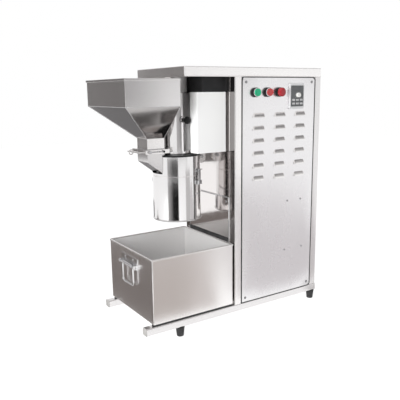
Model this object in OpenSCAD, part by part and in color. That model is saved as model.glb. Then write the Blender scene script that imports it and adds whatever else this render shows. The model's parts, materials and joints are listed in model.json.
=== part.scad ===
// Floor-standing pulverizer: hopper, slide gate, grinding chamber, belt drive in a cabinet, and a bin.
// The pieces are placed in machine axes: X to the right, Y to the back and Z up from the floor,
// with X = 0 on the cabinet's right side and Y = 0 on the plane of the front panel.
// machine() then moves them so that the origin is on the floor under the middle of the outline.

/* [Base] */
// Length of the two base rails
rail_len = 876; // [830:2:960]
// Depth of the machine from the front panel to the back panel
depth = 375; // [350:5:430]
// Side of the square rail tube
tube = 30; // [26:1:38]
// Wall of the rail and post tubes
tube_wall = 2; // [1.5:0.5:3]
// Outer corner radius of the rail and post tubes
tube_corner = 4; // [3.5:0.5:6]
// Height of the rubber feet
foot_h = 40; // [30:1:60]
// Diameter of a foot where it meets the rail
foot_top_d = 36; // [30:1:44]
// Diameter of a foot on the floor
foot_floor_d = 28; // [22:1:36]
// Distance of the left feet from the left end of the rails
foot_inset = 155; // [60:5:220]
// Thickness of the end caps outside the rails
cap_t = 4; // [3:0.5:8]

/* [Cabinet] */
// Height of the machine from the floor to the top of the cover
height = 1040; // [1020:5:1140]
// Width of the drive cabinet
cab_w = 462; // [440:2:520]
// Side of the square corner posts
post = 34; // [28:1:38]
// Thickness of the cabinet's sheet metal
sheet = 1.5; // [1:0.25:2]
// Width of the tabs behind the panels
tab_w = 26; // [22:1:32]
// Height of those tabs
tab_h = 30; // [20:1:40]
// Thickness of those tabs
tab_t = 3; // [2:0.5:4]
// Depth of the returns folded round a panel
panel_return = 12; // [8:1:16]
// Gap round a cabinet panel
panel_gap = 2.5; // [1.5:0.25:3.5]
// Height of the top cover
cover_h = 34; // [34:1:50]
// Thickness of the deck plate under the top cover
deck_t = 3; // [2:0.5:6]
// Height of the cover plate on the bay side of the cabinet
bay_cover_h = 450; // [380:5:500]
// Thickness of that cover plate
bay_cover_t = 3; // [2:0.5:3.5]
// Margin of that cover plate beside the posts
bay_cover_gap = 4; // [2:1:20]

/* [Louvres] */
// Louvres in a row
louvre_cols = 3; // [2:1:3]
// Louvres in a column
louvre_rows = 6; // [3:1:8]
// Length of a louvre
louvre_len = 60; // [44:1:70]
// Pitch of the louvres across the panel
louvre_pitch_x = 112; // [90:1:118]
// Pitch of the louvres up the panel
louvre_pitch_z = 51.2; // [34:0.1:60]
// Height of a louvre's pressed hood above its mouth
louvre_rise = 18.5; // [14:0.5:22]
// How far the hood stands out of the panel
louvre_out = 7; // [5:0.5:8]
// Radius of a hood's upper corners
louvre_corner = 9; // [6:0.5:12]
// Drop from the top of the panel to the mouth of the top louvre
louvre_drop = 157; // [145:1:170]

/* [Panel screws] */
// Diameter of a screw head
screw_d = 9; // [6:0.5:12]
// Height of a screw head
screw_h = 3; // [2:0.5:5]
// Inset of the corner screws from the panel's edges
screw_inset = 18; // [14:1:24]
// Height of the upper pair of bracket screws above the panel's foot
mid_screw_z = 410; // [330:5:480]
// Height of the lower pair of bracket screws above the panel's foot
low_screw_z = 193; // [120:5:260]
// Spacing of the upper pair
mid_screw_gap = 77; // [60:1:110]
// Spacing of the lower pair
low_screw_gap = 101; // [70:1:130]
// Distance of the middle of both pairs from the panel's right edge
pair_inset = 106; // [90:1:130]

/* [Controls] */
// Drop from the top of the panel to the row of buttons
button_drop = 58; // [50:1:70]
// Pitch of the buttons and the lamp, as a share of the panel's width
button_pitch_share = 0.1611; // [0.14:0.001:0.165]
// Distance of the first button from the panel's left edge, as a share of the panel's width
button_inset_share = 0.1637; // [0.12:0.001:0.18]
// Diameter of a button's black collar
collar_d = 38; // [36:1:44]
// Length of a collar in front of the panel
collar_out = 12; // [11:0.5:16]
// Diameter of a button cap
cap_d = 30; // [26:0.5:31]
// Travel of a button cap
cap_travel = 4; // [2:0.5:5]
// Diameter of a cap's stem
stem_d = 10; // [7:0.5:11]
// Outside diameter of the bright ring round a cap
ring_d = 35; // [34:0.5:37]
// Length of the bright ring
ring_out = 4; // [3:0.5:6]
// Diameter of the lamp's lens in front of its collar
lens_d = 36; // [33:0.5:38]
// Length of the lens's straight edge
lens_out = 8; // [5:0.5:10]
// Height of the lens's dome
lens_dome = 6; // [4:0.5:8]
// Diameter of a collar's barrel through the panel
barrel_d = 22; // [18:0.5:24]
// Length of a barrel behind the panel
barrel_in = 24; // [18:1:34]
// Width of the speed controller's frame
control_w = 80; // [76:1:90]
// Height of the speed controller's frame
control_h = 104; // [100:1:112]
// How far that frame stands out of the panel
control_out = 9; // [6:0.5:14]
// Width of the controller's dark face
face_w = 67; // [65:1:70]
// Height of the controller's dark face
face_h = 84; // [82:1:96]
// Distance of the controller's middle from the panel's right edge, as a share of the panel's width
control_inset_share = 0.28; // [0.26:0.001:0.3]
// Drop from the top of the panel to the controller's middle
control_drop = 75; // [70:1:84]
// Diameter of the speed knob
knob_d = 18; // [16:0.5:20]
// Length of the speed knob
knob_out = 13; // [9:0.5:18]
// Width of a key
key_w = 13; // [9:0.5:16]
// Height of a key
key_h = 8; // [6:0.5:9]
// Pitch of the keys across
key_pitch_x = 21; // [18:0.5:22]
// Pitch of the keys down
key_pitch_z = 15; // [12:0.5:16]
// Travel of a key
key_travel = 1; // [0.5:0.1:1.5]

/* [Spindle] */
// Distance of the spindle axis from the cabinet's left side
spindle_reach = 159; // [152:1:180]
// Diameter of the spindle's tube
spindle_tube_d = 118; // [104:1:124]
// Diameter of the neck at the top of the tube
neck_d = 98; // [80:1:104]
// Diameter of the spindle shaft
shaft_d = 30; // [24:1:32]
// Outside diameter of a spindle bearing
bearing_d = 62; // [56:1:66]
// Height of a spindle bearing
bearing_h = 18; // [14:1:24]
// Height of the yoke under the deck
yoke_h = 57; // [48:1:70]
// Reach of the yoke from the cabinet's wall
yoke_w = 118; // [112:1:124]
// Height of the bracket box under the yoke
bracket_h = 235; // [220:1:260]
// Reach of the bracket box from the cabinet's wall
bracket_w = 142; // [130:1:146]
// Depth of the bracket box
bracket_d = 274; // [240:2:300]
// Gap between the bracket box and the cabinet's wall
bracket_gap = 8; // [6:1:20]
// Gap between the bracket box and the spindle's tube
bracket_clear = 28; // [20:1:36]
// Thickness of the bracket box's sheet
bracket_wall = 2; // [1.5:0.5:4]
// Wall of the cast yoke
yoke_wall = 8; // [6:1:14]
// Height of the clamp knob above the foot of the spindle's tube
clamp_z = 136; // [90:1:180]
// Diameter of the clamp knob's ball
clamp_ball_d = 29; // [24:1:34]
// Diameter of the clamp knob's stud
clamp_stud_d = 10; // [8:1:12]

/* [Chamber] */
// Outside diameter of the grinding chamber
chamber_d = 196; // [190:1:206]
// Wall of the chamber ring and of the discharge tube
chamber_wall = 3; // [2:0.5:4]
// Thickness of the chamber's lid
lid_t = 6; // [4:0.5:10]
// Gap between the lid and the bracket box
lid_gap = 8; // [2:0.5:10]
// Height of the chamber ring
ring_h = 77; // [70:1:90]
// Thickness of the screen clamped under the ring
screen_t = 3; // [2:0.5:5]
// Diameter of a hole in the screen
screen_hole_d = 9; // [6:0.5:10]
// Pitch of the rings of holes in the screen
screen_pitch = 17; // [15:0.5:20]
// Height of the discharge tube
discharge_h = 180; // [140:2:220]
// How far the bead at its lower edge stands out
bead = 3; // [2:0.5:5]
// Gap between the rotor's hammers and the chamber ring
rotor_gap = 7; // [4:0.5:12]
// Number of hammers
hammer_count = 6; // [4:1:8]
// Height of a hammer
hammer_h = 30; // [20:1:32]
// Gap between the hammers and the screen
hammer_gap = 5; // [3:0.5:8]
// Thickness of the rotor's disc
disc_t = 8; // [6:0.5:12]

/* [Latches] */
// Turn of the two latches about the chamber
latch_angle = -60; // [-66:1:-54]
// Width of a latch's hook
latch_w = 16; // [12:1:20]
// Diameter of a latch's pin
latch_pin_d = 5; // [4:0.5:6]
// Height of the latch's hook from its pin to the keeper
latch_reach = 50; // [44:1:56]

/* [Hopper and gate] */
// Width of the hopper
hopper_w = 222; // [200:2:240]
// Depth of the hopper
hopper_d = 344; // [300:2:350]
// Height of the hopper's upright walls
hopper_wall_h = 99; // [80:1:110]
// Height of the hopper's funnel
funnel_h = 125; // [110:1:140]
// Sheet thickness of the hopper and the chute
hopper_sheet = 2; // [1.5:0.25:3]
// Gap between the hopper's rim and the deck
hopper_drop = 7; // [4:0.5:12]
// Height of the folded rim round the hopper
rim_h = 8; // [5:0.5:12]
// How far that rim stands out
rim_out = 3; // [2:0.5:5]
// Width of the duct under the hopper
duct_w = 75; // [66:1:80]
// Depth of the duct
duct_d = 86; // [76:1:96]
// Distance of the duct's right side from the spindle axis
duct_reach = 78; // [74:1:84]
// Gap between the hopper and the end of the top cover
cover_gap = 9; // [6:0.5:14]
// Height of the gate's frame
gate_h = 17; // [15:0.5:22]
// Width of the gate frame's flange round the duct
gate_flange = 15; // [14:0.5:20]
// Thickness of the gate's plate
gate_t = 4; // [3:0.5:5]
// How far the plate stands out of its frame when it is shut
gate_tail = 28; // [20:1:40]
// Travel of the gate's plate
gate_travel = 70; // [50:1:74]
// Outside diameter of the pull ring on the plate
pull_d = 22; // [16:1:28]
// Length of the gate's clamp lever
lever_len = 60; // [45:1:66]
// Diameter of the lever's ball
lever_ball_d = 9; // [7:0.5:12]
// Height of the chute between the lid and the gate
chute_neck = 10; // [8:0.5:16]
// Drop from the gate to the knee of the chute's sloping floor
chute_knee = 33; // [24:1:40]
// Drop from the gate to the low end of the chute's floor
chute_drop = 88; // [74:1:92]

/* [Drive] */
// Diameter of the motor's finned body
motor_d = 170; // [150:2:180]
// Length of the motor
motor_len = 310; // [260:5:360]
// Number of cooling fins round the motor
fin_count = 24; // [16:2:32]
// Height of the motor's fan cowl
cowl_h = 50; // [40:1:70]
// Diameter of the motor's shaft
motor_shaft_d = 28; // [22:1:30]
// Belt diameter on the motor's pulley
motor_pulley_d = 120; // [100:1:140]
// Belt diameter on the spindle's pulley
spindle_pulley_d = 76; // [66:1:90]
// Width of the belt
belt_w = 16; // [12:0.5:18]
// Thickness of the belt
belt_t = 5; // [4:0.5:7]

/* [Bin] */
// Length of the bin along the rails
bin_w = 375; // [340:2:380]
// Height of the bin
bin_h = 256; // [220:2:270]
// Sheet thickness of the bin
bin_sheet = 2; // [1.5:0.25:3]
// Diameter of the rolled rim
bin_rim_d = 7; // [5:0.5:8]
// Gap between the bin's rim and the cabinet's post
bin_gap = 6; // [5:0.5:10]
// Thickness of the runners under the bin
runner_t = 8; // [5:0.5:12]
// Length of the handle's plate
handle_w = 142; // [136:1:156]
// Height of the handle's plate
handle_h = 46; // [40:1:60]
// Drop from the bin's rim to the handle's pivot
handle_drop = 58; // [50:1:80]
// Diameter of the handle's bail
bail_d = 9; // [7:0.5:10]
// Width of the bail between the middles of its sides
bail_w = 92; // [80:1:100]
// Drop of the bail from its pivot to its grip
bail_drop = 78; // [60:1:90]
// Radius of the bail's lower corners
bail_corner = 14; // [10:1:20]

/* [Clearances] */
// Radial clearance of a shaft or pin turning in its bore
run_fit = 0.05; // [0.02:0.01:0.1]
// Gap between a sliding piece and its guide
slide_gap = 0.4; // [0.3:0.05:0.6]
// Gap round a fixed piece set into another
seat_gap = 0.2; // [0.1:0.05:0.4]

/* [Hidden] */
$fn = 64;
over = 1;

// Heights up the machine
rail_top = foot_h + tube;
deck_top = height - cover_h;
deck_z = deck_top - deck_t;
yoke_z = deck_z - yoke_h;
bracket_z = yoke_z - bracket_h;
lid_top = bracket_z - lid_gap;
ring_top = lid_top - lid_t;
ring_z = ring_top - ring_h;
screen_z = ring_z - screen_t;
discharge_z = screen_z - discharge_h;
gate_z = lid_top + chute_neck;
gate_top = gate_z + gate_h;
hopper_top = deck_z - hopper_drop;
funnel_top = hopper_top - hopper_wall_h;
duct_top = funnel_top - funnel_h;
runner_z = rail_top + slide_gap;
bin_z = runner_z + runner_t;
bin_top = bin_z + bin_h;

// Places across the machine
mid_y = depth / 2;
cab_x = -cab_w;
spindle_x = cab_x - spindle_reach;
bracket_x = cab_x - bracket_w;
yoke_x = cab_x - yoke_w;
duct_right = spindle_x - duct_reach;
duct_left = duct_right - duct_w;
hopper_left = duct_right - hopper_w;
cover_left = duct_right + cover_gap;
motor_x = cab_x / 2;
motor_z = deck_z - motor_len;
bin_right = cab_x - bin_gap - bin_rim_d / 2;
bin_left = bin_right - bin_w;
bin_d = depth;

// The cabinet's front panel
panel_left = cab_x + post + panel_gap;
panel_right = -post - panel_gap;
panel_z = rail_top + panel_gap;
panel_top = deck_z - panel_gap;
panel_mid = (panel_left + panel_right) / 2;
panel_w = panel_right - panel_left;

// The radius that takes a louvre's hood from the panel to its mouth
louvre_r = (louvre_rise * louvre_rise + louvre_out * louvre_out) / (2 * louvre_out);

// Round and sliding parts
spindle_r = spindle_tube_d / 2;
chamber_r = chamber_d / 2;
chamber_in = chamber_r - chamber_wall;
button_z = panel_top - button_drop;
button_xs = [for (i = [0 : 2]) panel_left + (button_inset_share + i * button_pitch_share) * panel_w];
cap_front = collar_out + ring_out + 4;
cap_len = cap_front - 6 - cap_travel - over;
lens_front = collar_out + lens_out + lens_dome;
control_x = panel_right - control_inset_share * panel_w;
control_z = panel_top - control_drop;
face_front = control_out + 2;
knob_z = control_z + 4;
key_z = control_z - 16;
key_back = 6;
key_out = 3;
knob_stem_d = 6;
pointer_out = 0.8;
hole_gap = 0.3;
belt_z = deck_top + 7;
pulley_lip = 3;
pulley_lip_h = 2.5;
pulley_h = belt_w + 2 * (pulley_lip_h + hole_gap);
pulley_z = belt_z - pulley_lip_h - hole_gap;
rotor_z = ring_z + hammer_gap;
rotor_d = 2 * (chamber_in - rotor_gap);
hub_d = 60;
wing_h = 12;
slot_h = gate_t + 2 * slide_gap;
slot_z = gate_z + (gate_h - slot_h) / 2;
plate_d = duct_d + 6;
gate_left = duct_left - gate_flange;
gate_right = duct_right + gate_flange;
gate_wall = 4;
pull_r = 2.5;
lever_pivot_x = duct_left + 2;
lever_pivot_z = gate_z + gate_h / 2;
lever_hub_d = 12;
lever_hub_t = 9;
lever_pin_d = 6;
lever_pin_in = 5;
lever_rod_d = 4;
gate_front = mid_y - duct_d / 2 - gate_flange;
handle_plate_t = 3;
pivot_out = handle_plate_t + bail_d / 2 + 3;
pivot_x = bin_left - pivot_out;
pivot_z = bin_top - handle_drop;
eye_d = bail_d + 8;
eye_w = 14;
bail_bend = 7;
eye_in = bail_w / 2 + bail_bend + slide_gap;
eye_y = eye_in + eye_w / 2;
barrel_half = bail_w / 2 - bail_d / 2 - over;
latch_pin_out = 8;
latch_pin_z = screen_z - 27;
latch_arm_t = 3;
latch_ear_t = 4;
latch_side_gap = 0.4;
latch_nose_gap = 0.4;
keeper_out = latch_pin_out - latch_arm_t / 2 - 1;
keeper_h = 8;
clamp_boss_d = 24;
clamp_boss_out = 8;
arm_t = 12;
arm_w = 42;
arm_h = 56;
arm_round = 18;
arm_bolt_d = 16;

// The outline's middle, which becomes the origin
front_y = -max(cap_front, lens_front, face_front + knob_out + pointer_out);
back_y = depth + max(bin_rim_d, foot_top_d - tube) / 2;
origin_x = (hopper_left - rim_out + cap_t) / 2;
origin_y = (front_y + back_y) / 2;

// Moves a piece from machine axes to the part's own origin
module machine() {
    translate([-origin_x, -origin_y, 0]) children();
}

// A rectangle with round corners, centred
module round_rect(w, h, corner) {
    square([w, h - 2 * corner], center = true);
    square([w - 2 * corner, h], center = true);
    for (sx = [-1, 1], sy = [-1, 1])
        translate([sx * (w / 2 - corner), sy * (h / 2 - corner)]) circle(corner);
}

// The section of a square tube
module tube_section(side) {
    difference() {
        round_rect(side, side, tube_corner);
        round_rect(side - 2 * tube_wall, side - 2 * tube_wall, tube_corner - tube_wall + 0.5);
    }
}

// Turns a child drawn in X and Y and raised in Z so that it stands on the front and grows forwards
module facing_front() {
    rotate([90, 0, 0]) children();
}

// A cylinder along Y from y0 to y1
module y_rod(d, y0, y1) {
    translate([0, y1, 0]) rotate([90, 0, 0]) cylinder(d = d, h = y1 - y0);
}

// Two rails and the cross tubes under the cabinet, welded in one frame
module base_frame() {
    color("silver") machine() {
        for (y = [tube / 2, depth - tube / 2])
            translate([-rail_len, y, foot_h + tube / 2]) rotate([90, 0, 90])
                linear_extrude(rail_len) tube_section(tube);
        for (x = [cab_x + post / 2, -post / 2])
            translate([x, tube, foot_h + tube / 2]) rotate([-90, 0, 0])
                linear_extrude(depth - 2 * tube) tube_section(tube);
    }
}

// A plug in each open end of the rails
module rail_caps() {
    color("dimgray") machine()
        for (y = [tube / 2, depth - tube / 2], end = [0, 1])
            translate([end ? 0 : -rail_len, y, foot_h + tube / 2]) rotate([0, end ? 90 : -90, 0])
                rail_cap();
}

module rail_cap() {
    plug = tube - 2 * tube_wall - 2 * seat_gap;
    linear_extrude(cap_t / 2) round_rect(tube, tube, tube_corner);
    linear_extrude(cap_t) round_rect(tube - cap_t, tube - cap_t, tube_corner);
    translate([0, 0, -tube / 2]) linear_extrude(tube / 2 + over) round_rect(plug, plug, tube_corner - 1);
}

// Four tapered rubber feet with a hollow underneath
module feet() {
    left_x = -rail_len + foot_inset;
    color("black") machine()
        for (x = [left_x, -tube / 2], y = [tube / 2, depth - tube / 2])
            translate([x, y, 0]) rotate_extrude() foot_section();
}

module foot_section() {
    hollow_r = foot_floor_d / 4;
    hollow_h = foot_h / 5;
    edge = 1.5;
    polygon([
        [hollow_r, 0], [foot_floor_d / 2 - edge, 0], [foot_floor_d / 2, edge],
        [foot_top_d / 2, foot_h - 2 * edge], [foot_top_d / 2, foot_h], [0, foot_h],
        [0, hollow_h], [hollow_r, hollow_h]
    ]);
}

// The cabinet's four corner posts, with the tabs that its panels are screwed to
module posts() {
    color("gainsboro") machine() {
        for (x = [cab_x + post / 2, -post / 2], y = [post / 2, depth - post / 2])
            translate([x, y, rail_top]) linear_extrude(deck_z - rail_top) tube_section(post);
        for (z = [panel_z + screw_inset, panel_top - screw_inset]) {
            for (x = [cab_x + post - over, -post - tab_w], y = [panel_return, depth - panel_return - tab_t])
                translate([x, y, z - tab_h / 2]) cube([tab_w + over, tab_t, tab_h]);
            for (y = [post - over, depth - post - tab_w])
                translate([-sheet - tab_t, y, z - tab_h / 2]) cube([tab_t, tab_w + over, tab_h]);
        }
    }
}

// The sheet that closes the cabinet below
module floor_plate() {
    inset = panel_return + 3;
    color("silver") machine() difference() {
        translate([cab_x + inset, inset, rail_top])
            cube([cab_w - 2 * inset, depth - 2 * inset, sheet]);
        for (x = [cab_x + post / 2, -post / 2], y = [post / 2, depth - post / 2])
            translate([x, y, rail_top + sheet / 2])
                cube([post + 2 * seat_gap, post + 2 * seat_gap, sheet + 2 * over], center = true);
    }
}

// A sheet folded back on all four sides, with its face on Y = 0
module folded_panel() {
    w = panel_right - panel_left;
    h = panel_top - panel_z;
    translate([panel_left, 0, panel_z]) difference() {
        cube([w, panel_return, h]);
        translate([sheet, sheet, sheet])
            cube([w - 2 * sheet, panel_return, h - 2 * sheet]);
    }
}

// A louvre's outline seen from the front, with its straight mouth on Z = 0
module louvre_outline(length, corner) {
    translate([-length / 2, 0]) square([length, louvre_rise - corner]);
    translate([corner - length / 2, 0]) square([length - 2 * corner, louvre_rise]);
    for (s = [-1, 1]) translate([s * (length / 2 - corner), louvre_rise - corner]) circle(corner);
}

// A hood that swells out of the panel towards its mouth, or with inset the hollow in it
module louvre_hood(inset, y_back) {
    length = louvre_len - 2 * inset;
    intersection() {
        translate([0, louvre_r - louvre_out, 0]) rotate([0, 90, 0])
            cylinder(r = louvre_r - inset, h = length, center = true);
        translate([0, y_back, 0]) facing_front() linear_extrude(louvre_out + over + y_back)
            louvre_outline(length, louvre_corner - inset);
    }
}

module louvre_places() {
    for (i = [0 : louvre_cols - 1], j = [0 : louvre_rows - 1])
        translate([
            panel_mid + (i - (louvre_cols - 1) / 2) * louvre_pitch_x, 0,
            panel_top - louvre_drop - j * louvre_pitch_z
        ]) children();
}

// The front panel with its pressed louvres and the holes for the controls
module front_panel() {
    color("gainsboro") machine() difference() {
        union() {
            folded_panel();
            louvre_places() louvre_hood(0, sheet / 2);
        }
        louvre_places() louvre_hood(sheet, sheet + over);
        for (x = button_xs)
            translate([x, 0, button_z]) y_rod(barrel_d + 2 * seat_gap, -over, sheet + over);
        translate([control_x, sheet / 2, control_z])
            cube([face_w + 2 * seat_gap, sheet + 2 * over, face_h + 2 * seat_gap], center = true);
    }
}

function corner_screws() = [
    for (x = [panel_left + screw_inset, panel_right - screw_inset])
        for (z = [panel_z + screw_inset, panel_top - screw_inset]) [x, z]
];

function pair_screws(z, gap) = [
    for (s = [-1, 1]) [panel_right - pair_inset + s * gap / 2, panel_z + z]
];

// Pan-head screws of the front panel
module panel_screws() {
    places = concat(corner_screws(), pair_screws(mid_screw_z, mid_screw_gap),
        pair_screws(low_screw_z, low_screw_gap));
    color("silver") machine()
        for (p = places) translate([p[0], 0, p[1]]) facing_front() screw_head(screw_d, screw_h);
}

// A domed head, cut from a ball
module screw_head(d, h) {
    ball_r = (d * d / 4 + h * h) / (2 * h);
    difference() {
        intersection() {
            translate([0, 0, h - ball_r]) sphere(ball_r);
            cylinder(d = d, h = h + over);
        }
        for (turn = [0, 90])
            rotate(turn) translate([0, 0, h]) cube([d * 0.55, d * 0.14, h], center = true);
    }
}

// The sheet on the cabinet's right side
module side_panel() {
    y0 = post + panel_gap;
    color("gainsboro") machine() translate([-sheet, y0, panel_z])
        cube([sheet, depth - 2 * y0, panel_top - panel_z]);
}

// The folded sheet that closes the cabinet's back
module rear_panel() {
    color("gainsboro") machine() translate([0, depth, 0]) mirror([0, 1, 0]) folded_panel();
}

// The polished wall between the cabinet and the open bay
module bay_wall() {
    y0 = post + seat_gap;
    color("lightgray") machine() translate([cab_x, y0, rail_top])
        cube([sheet, depth - 2 * y0, deck_z - rail_top]);
}

// The cover plate over the lower half of that wall
module bay_cover() {
    y0 = post + bay_cover_gap;
    foot = rail_top + panel_gap;
    color("lightgray") machine() difference() {
        translate([cab_x - bay_cover_t, y0, foot])
            cube([bay_cover_t, depth - 2 * y0, bay_cover_h]);
        for (y = [y0 + screw_inset, depth - y0 - screw_inset])
            for (z = [foot + screw_inset, foot + bay_cover_h - screw_inset])
                translate([cab_x - bay_cover_t - over, y, z]) rotate([0, 90, 0])
                    cylinder(d = screw_d / 2, h = bay_cover_t + 2 * over);
    }
}

// The plate that carries the motor, the yoke and the top cover
module deck() {
    color("gray") machine() difference() {
        translate([cover_left, 0, deck_z]) cube([-cover_left, depth, deck_t]);
        translate([spindle_x, mid_y, deck_z - over]) cylinder(d = bearing_d - 8, h = deck_t + 2 * over);
        translate([motor_x, mid_y, deck_z - over]) cylinder(d = motor_shaft_d + 30, h = deck_t + 2 * over);
    }
}

// The shallow cap over the belt
module top_cover() {
    color("whitesmoke") machine() translate([cover_left, 0, deck_top]) difference() {
        cube([-cover_left, depth, cover_h]);
        translate([sheet, sheet, -over])
            cube([-cover_left - 2 * sheet, depth - 2 * sheet, cover_h - sheet + over]);
    }
}

// The black collars of the two buttons and the lamp, with barrel and lock nut
module button_collars() {
    color([0.1, 0.1, 0.1]) machine()
        for (x = button_xs) translate([x, 0, button_z]) button_collar();
}

module button_collar() {
    nut_t = 6;
    difference() {
        union() {
            y_rod(collar_d, -collar_out, 0);
            y_rod(barrel_d, -over, barrel_in);
            y_rod(barrel_d + 10, sheet + seat_gap, sheet + nut_t);
        }
        y_rod(cap_d + 2 * slide_gap, -collar_out - over, -6);
        y_rod(stem_d + 2 * run_fit, -collar_out, barrel_in - 4);
    }
}

// The bright rings round the two caps
module button_rings() {
    color("silver") machine()
        for (i = [0, 1]) translate([button_xs[i], 0, button_z]) difference() {
            y_rod(ring_d, -collar_out - ring_out, -collar_out);
            y_rod(cap_d + 2 * slide_gap, -collar_out - ring_out - over, -collar_out + over);
        }
}

module button_cap() {
    stem_end = barrel_in - 4 - cap_travel - over;
    difference() {
        union() {
            y_rod(cap_d, -cap_front, -cap_front + cap_len);
            y_rod(stem_d, -cap_front + cap_len - over, stem_end);
        }
        y_rod(cap_d * 0.8, -cap_front - over, -cap_front + 0.8);
    }
}

// The green start button's cap
module start_cap() {
    color("limegreen") machine() translate([button_xs[0], 0, button_z]) button_cap();
}

// The red stop button's cap
module stop_cap() {
    color("red") machine() translate([button_xs[1], 0, button_z]) button_cap();
}

// The lamp's domed red lens, wider than the plug that holds it in its collar
module lamp_lens() {
    ball_r = (lens_d * lens_d / 4 + lens_dome * lens_dome) / (2 * lens_dome);
    color("crimson") machine() translate([button_xs[2], 0, button_z]) {
        intersection() {
            y_rod(lens_d, -lens_front, -collar_out);
            translate([0, -lens_front + ball_r, 0]) sphere(ball_r);
        }
        y_rod(cap_d, -collar_out - over, -6);
    }
}

// The speed controller's light frame
module control_frame() {
    color("gainsboro") machine() translate([control_x, 0, control_z]) facing_front()
        linear_extrude(control_out) difference() {
            round_rect(control_w, control_h, 5);
            square([face_w + 2 * seat_gap, face_h + 2 * seat_gap], center = true);
        }
}

function key_place(i) = [
    control_x + (i % 3 - 1) * key_pitch_x, 0,
    key_z - floor(i / 3) * key_pitch_z
];

// The controller's dark face, with a sunk display and pockets for the knob and the keys
module control_face() {
    display_w = 46;
    display_h = 16;
    display_z = control_z + face_h / 2 - display_h / 2 - 5;
    back = 10;
    color("darkslategray") machine() difference() {
        translate([control_x, 0, control_z]) translate([0, back, 0]) facing_front()
            linear_extrude(face_front + back) square([face_w, face_h], center = true);
        translate([control_x, -face_front, display_z])
            cube([display_w, 2 * sheet, display_h], center = true);
        translate([control_x, 0, knob_z]) y_rod(knob_stem_d + 2 * run_fit, -face_front - over, 4);
        for (i = [0 : 5]) translate(key_place(i))
            translate([0, -face_front + key_back / 2, 0])
                cube([key_w + 2 * slide_gap, key_back + over, key_h + 2 * slide_gap], center = true);
    }
}

// The speed controller's ribbed knob with its stem
module speed_knob() {
    ribs = 18;
    rib_d = 1.6;
    front = face_front + knob_out;
    color("white") machine() translate([control_x, 0, knob_z]) {
        translate([0, -face_front - slide_gap, 0]) facing_front()
            linear_extrude(knob_out - slide_gap) {
                circle(d = knob_d - rib_d);
                for (i = [0 : ribs - 1]) rotate(i * 360 / ribs)
                    translate([knob_d / 2 - rib_d / 2, 0]) circle(d = rib_d, $fn = 16);
            }
        translate([-rib_d / 2, -front - pointer_out, 0]) cube([rib_d, over, knob_d / 2 - 2]);
        y_rod(knob_stem_d, -front + over, 3);
    }
}

module key_cap(i) {
    back_gap = key_travel + slide_gap;
    color("lightgray") machine() translate(key_place(i))
        translate([0, -face_front + key_back - over / 2 - back_gap, 0]) facing_front()
            linear_extrude(key_back - over / 2 - back_gap + key_out) round_rect(key_w, key_h, 1.5);
}

// The controller's six keys
module key_1() { key_cap(0); }
module key_2() { key_cap(1); }
module key_3() { key_cap(2); }
module key_4() { key_cap(3); }
module key_5() { key_cap(4); }
module key_6() { key_cap(5); }

// The motor hanging from the deck: flange, finned body and fan cowl
module motor_body() {
    flange_t = 12;
    fin_t = 3;
    fin_out = 12;
    core_r = motor_d / 2 - fin_out;
    color("steelblue") machine() translate([motor_x, mid_y, 0]) difference() {
        union() {
            translate([0, 0, deck_z - flange_t]) cylinder(d = motor_d + 20, h = flange_t);
            translate([0, 0, motor_z + cowl_h - over]) linear_extrude(motor_len - cowl_h - flange_t + 2 * over) {
                circle(core_r);
                for (i = [0 : fin_count - 1]) rotate(i * 360 / fin_count)
                    translate([core_r - over, -fin_t / 2]) square([fin_out + over, fin_t]);
            }
            translate([0, 0, motor_z]) cylinder(d = motor_d + 6, h = cowl_h);
        }
        translate([0, 0, motor_z + cowl_h]) cylinder(d = motor_shaft_d + 2 * run_fit, h = motor_len);
    }
}

module motor_shaft() {
    foot = motor_z + cowl_h + 2 * over;
    color("silver") machine() translate([motor_x, mid_y, foot])
        cylinder(d = motor_shaft_d, h = pulley_z + pulley_h - foot);
}

// A pulley with two lips round the belt's track
module pulley(belt_d, bore_d) {
    lip_r = belt_d / 2 + belt_t + pulley_lip;
    track_r = belt_d / 2;
    rotate_extrude() polygon([
        [bore_d / 2, 0], [lip_r, 0], [lip_r, pulley_lip_h - 1], [track_r, pulley_lip_h],
        [track_r, pulley_h - pulley_lip_h], [lip_r, pulley_h - pulley_lip_h + 1],
        [lip_r, pulley_h], [bore_d / 2, pulley_h]
    ]);
}

module motor_pulley() {
    color("dimgray") machine() translate([motor_x, mid_y, pulley_z])
        pulley(motor_pulley_d, motor_shaft_d);
}

module spindle_pulley() {
    color("dimgray") machine() translate([spindle_x, mid_y, pulley_z])
        pulley(spindle_pulley_d, shaft_d);
}

// The outline of a loop round both pulleys, at a distance from their tracks
module belt_outline(grow) {
    hull() {
        circle(d = spindle_pulley_d + 2 * grow);
        translate([motor_x - spindle_x, 0]) circle(d = motor_pulley_d + 2 * grow);
    }
}

// The belt from the motor to the spindle
module belt() {
    color([0.15, 0.15, 0.15]) machine() translate([spindle_x, mid_y, belt_z])
        linear_extrude(belt_w) difference() {
            belt_outline(hole_gap + belt_t);
            belt_outline(hole_gap);
        }
}

// The spindle's shaft, from the rotor up to its pulley
module spindle_shaft() {
    color("silver") machine() translate([spindle_x, mid_y, rotor_z])
        cylinder(d = shaft_d, h = pulley_z + pulley_h - rotor_z);
}

// A bearing in each end of the housing
module spindle_bearings() {
    color("silver") machine()
        for (z = [lid_top, deck_z - bearing_h]) translate([spindle_x, mid_y, z]) difference() {
            cylinder(d = bearing_d - 2 * run_fit, h = bearing_h);
            translate([0, 0, -over]) cylinder(d = shaft_d + 2 * run_fit, h = bearing_h + 2 * over);
        }
}

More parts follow.
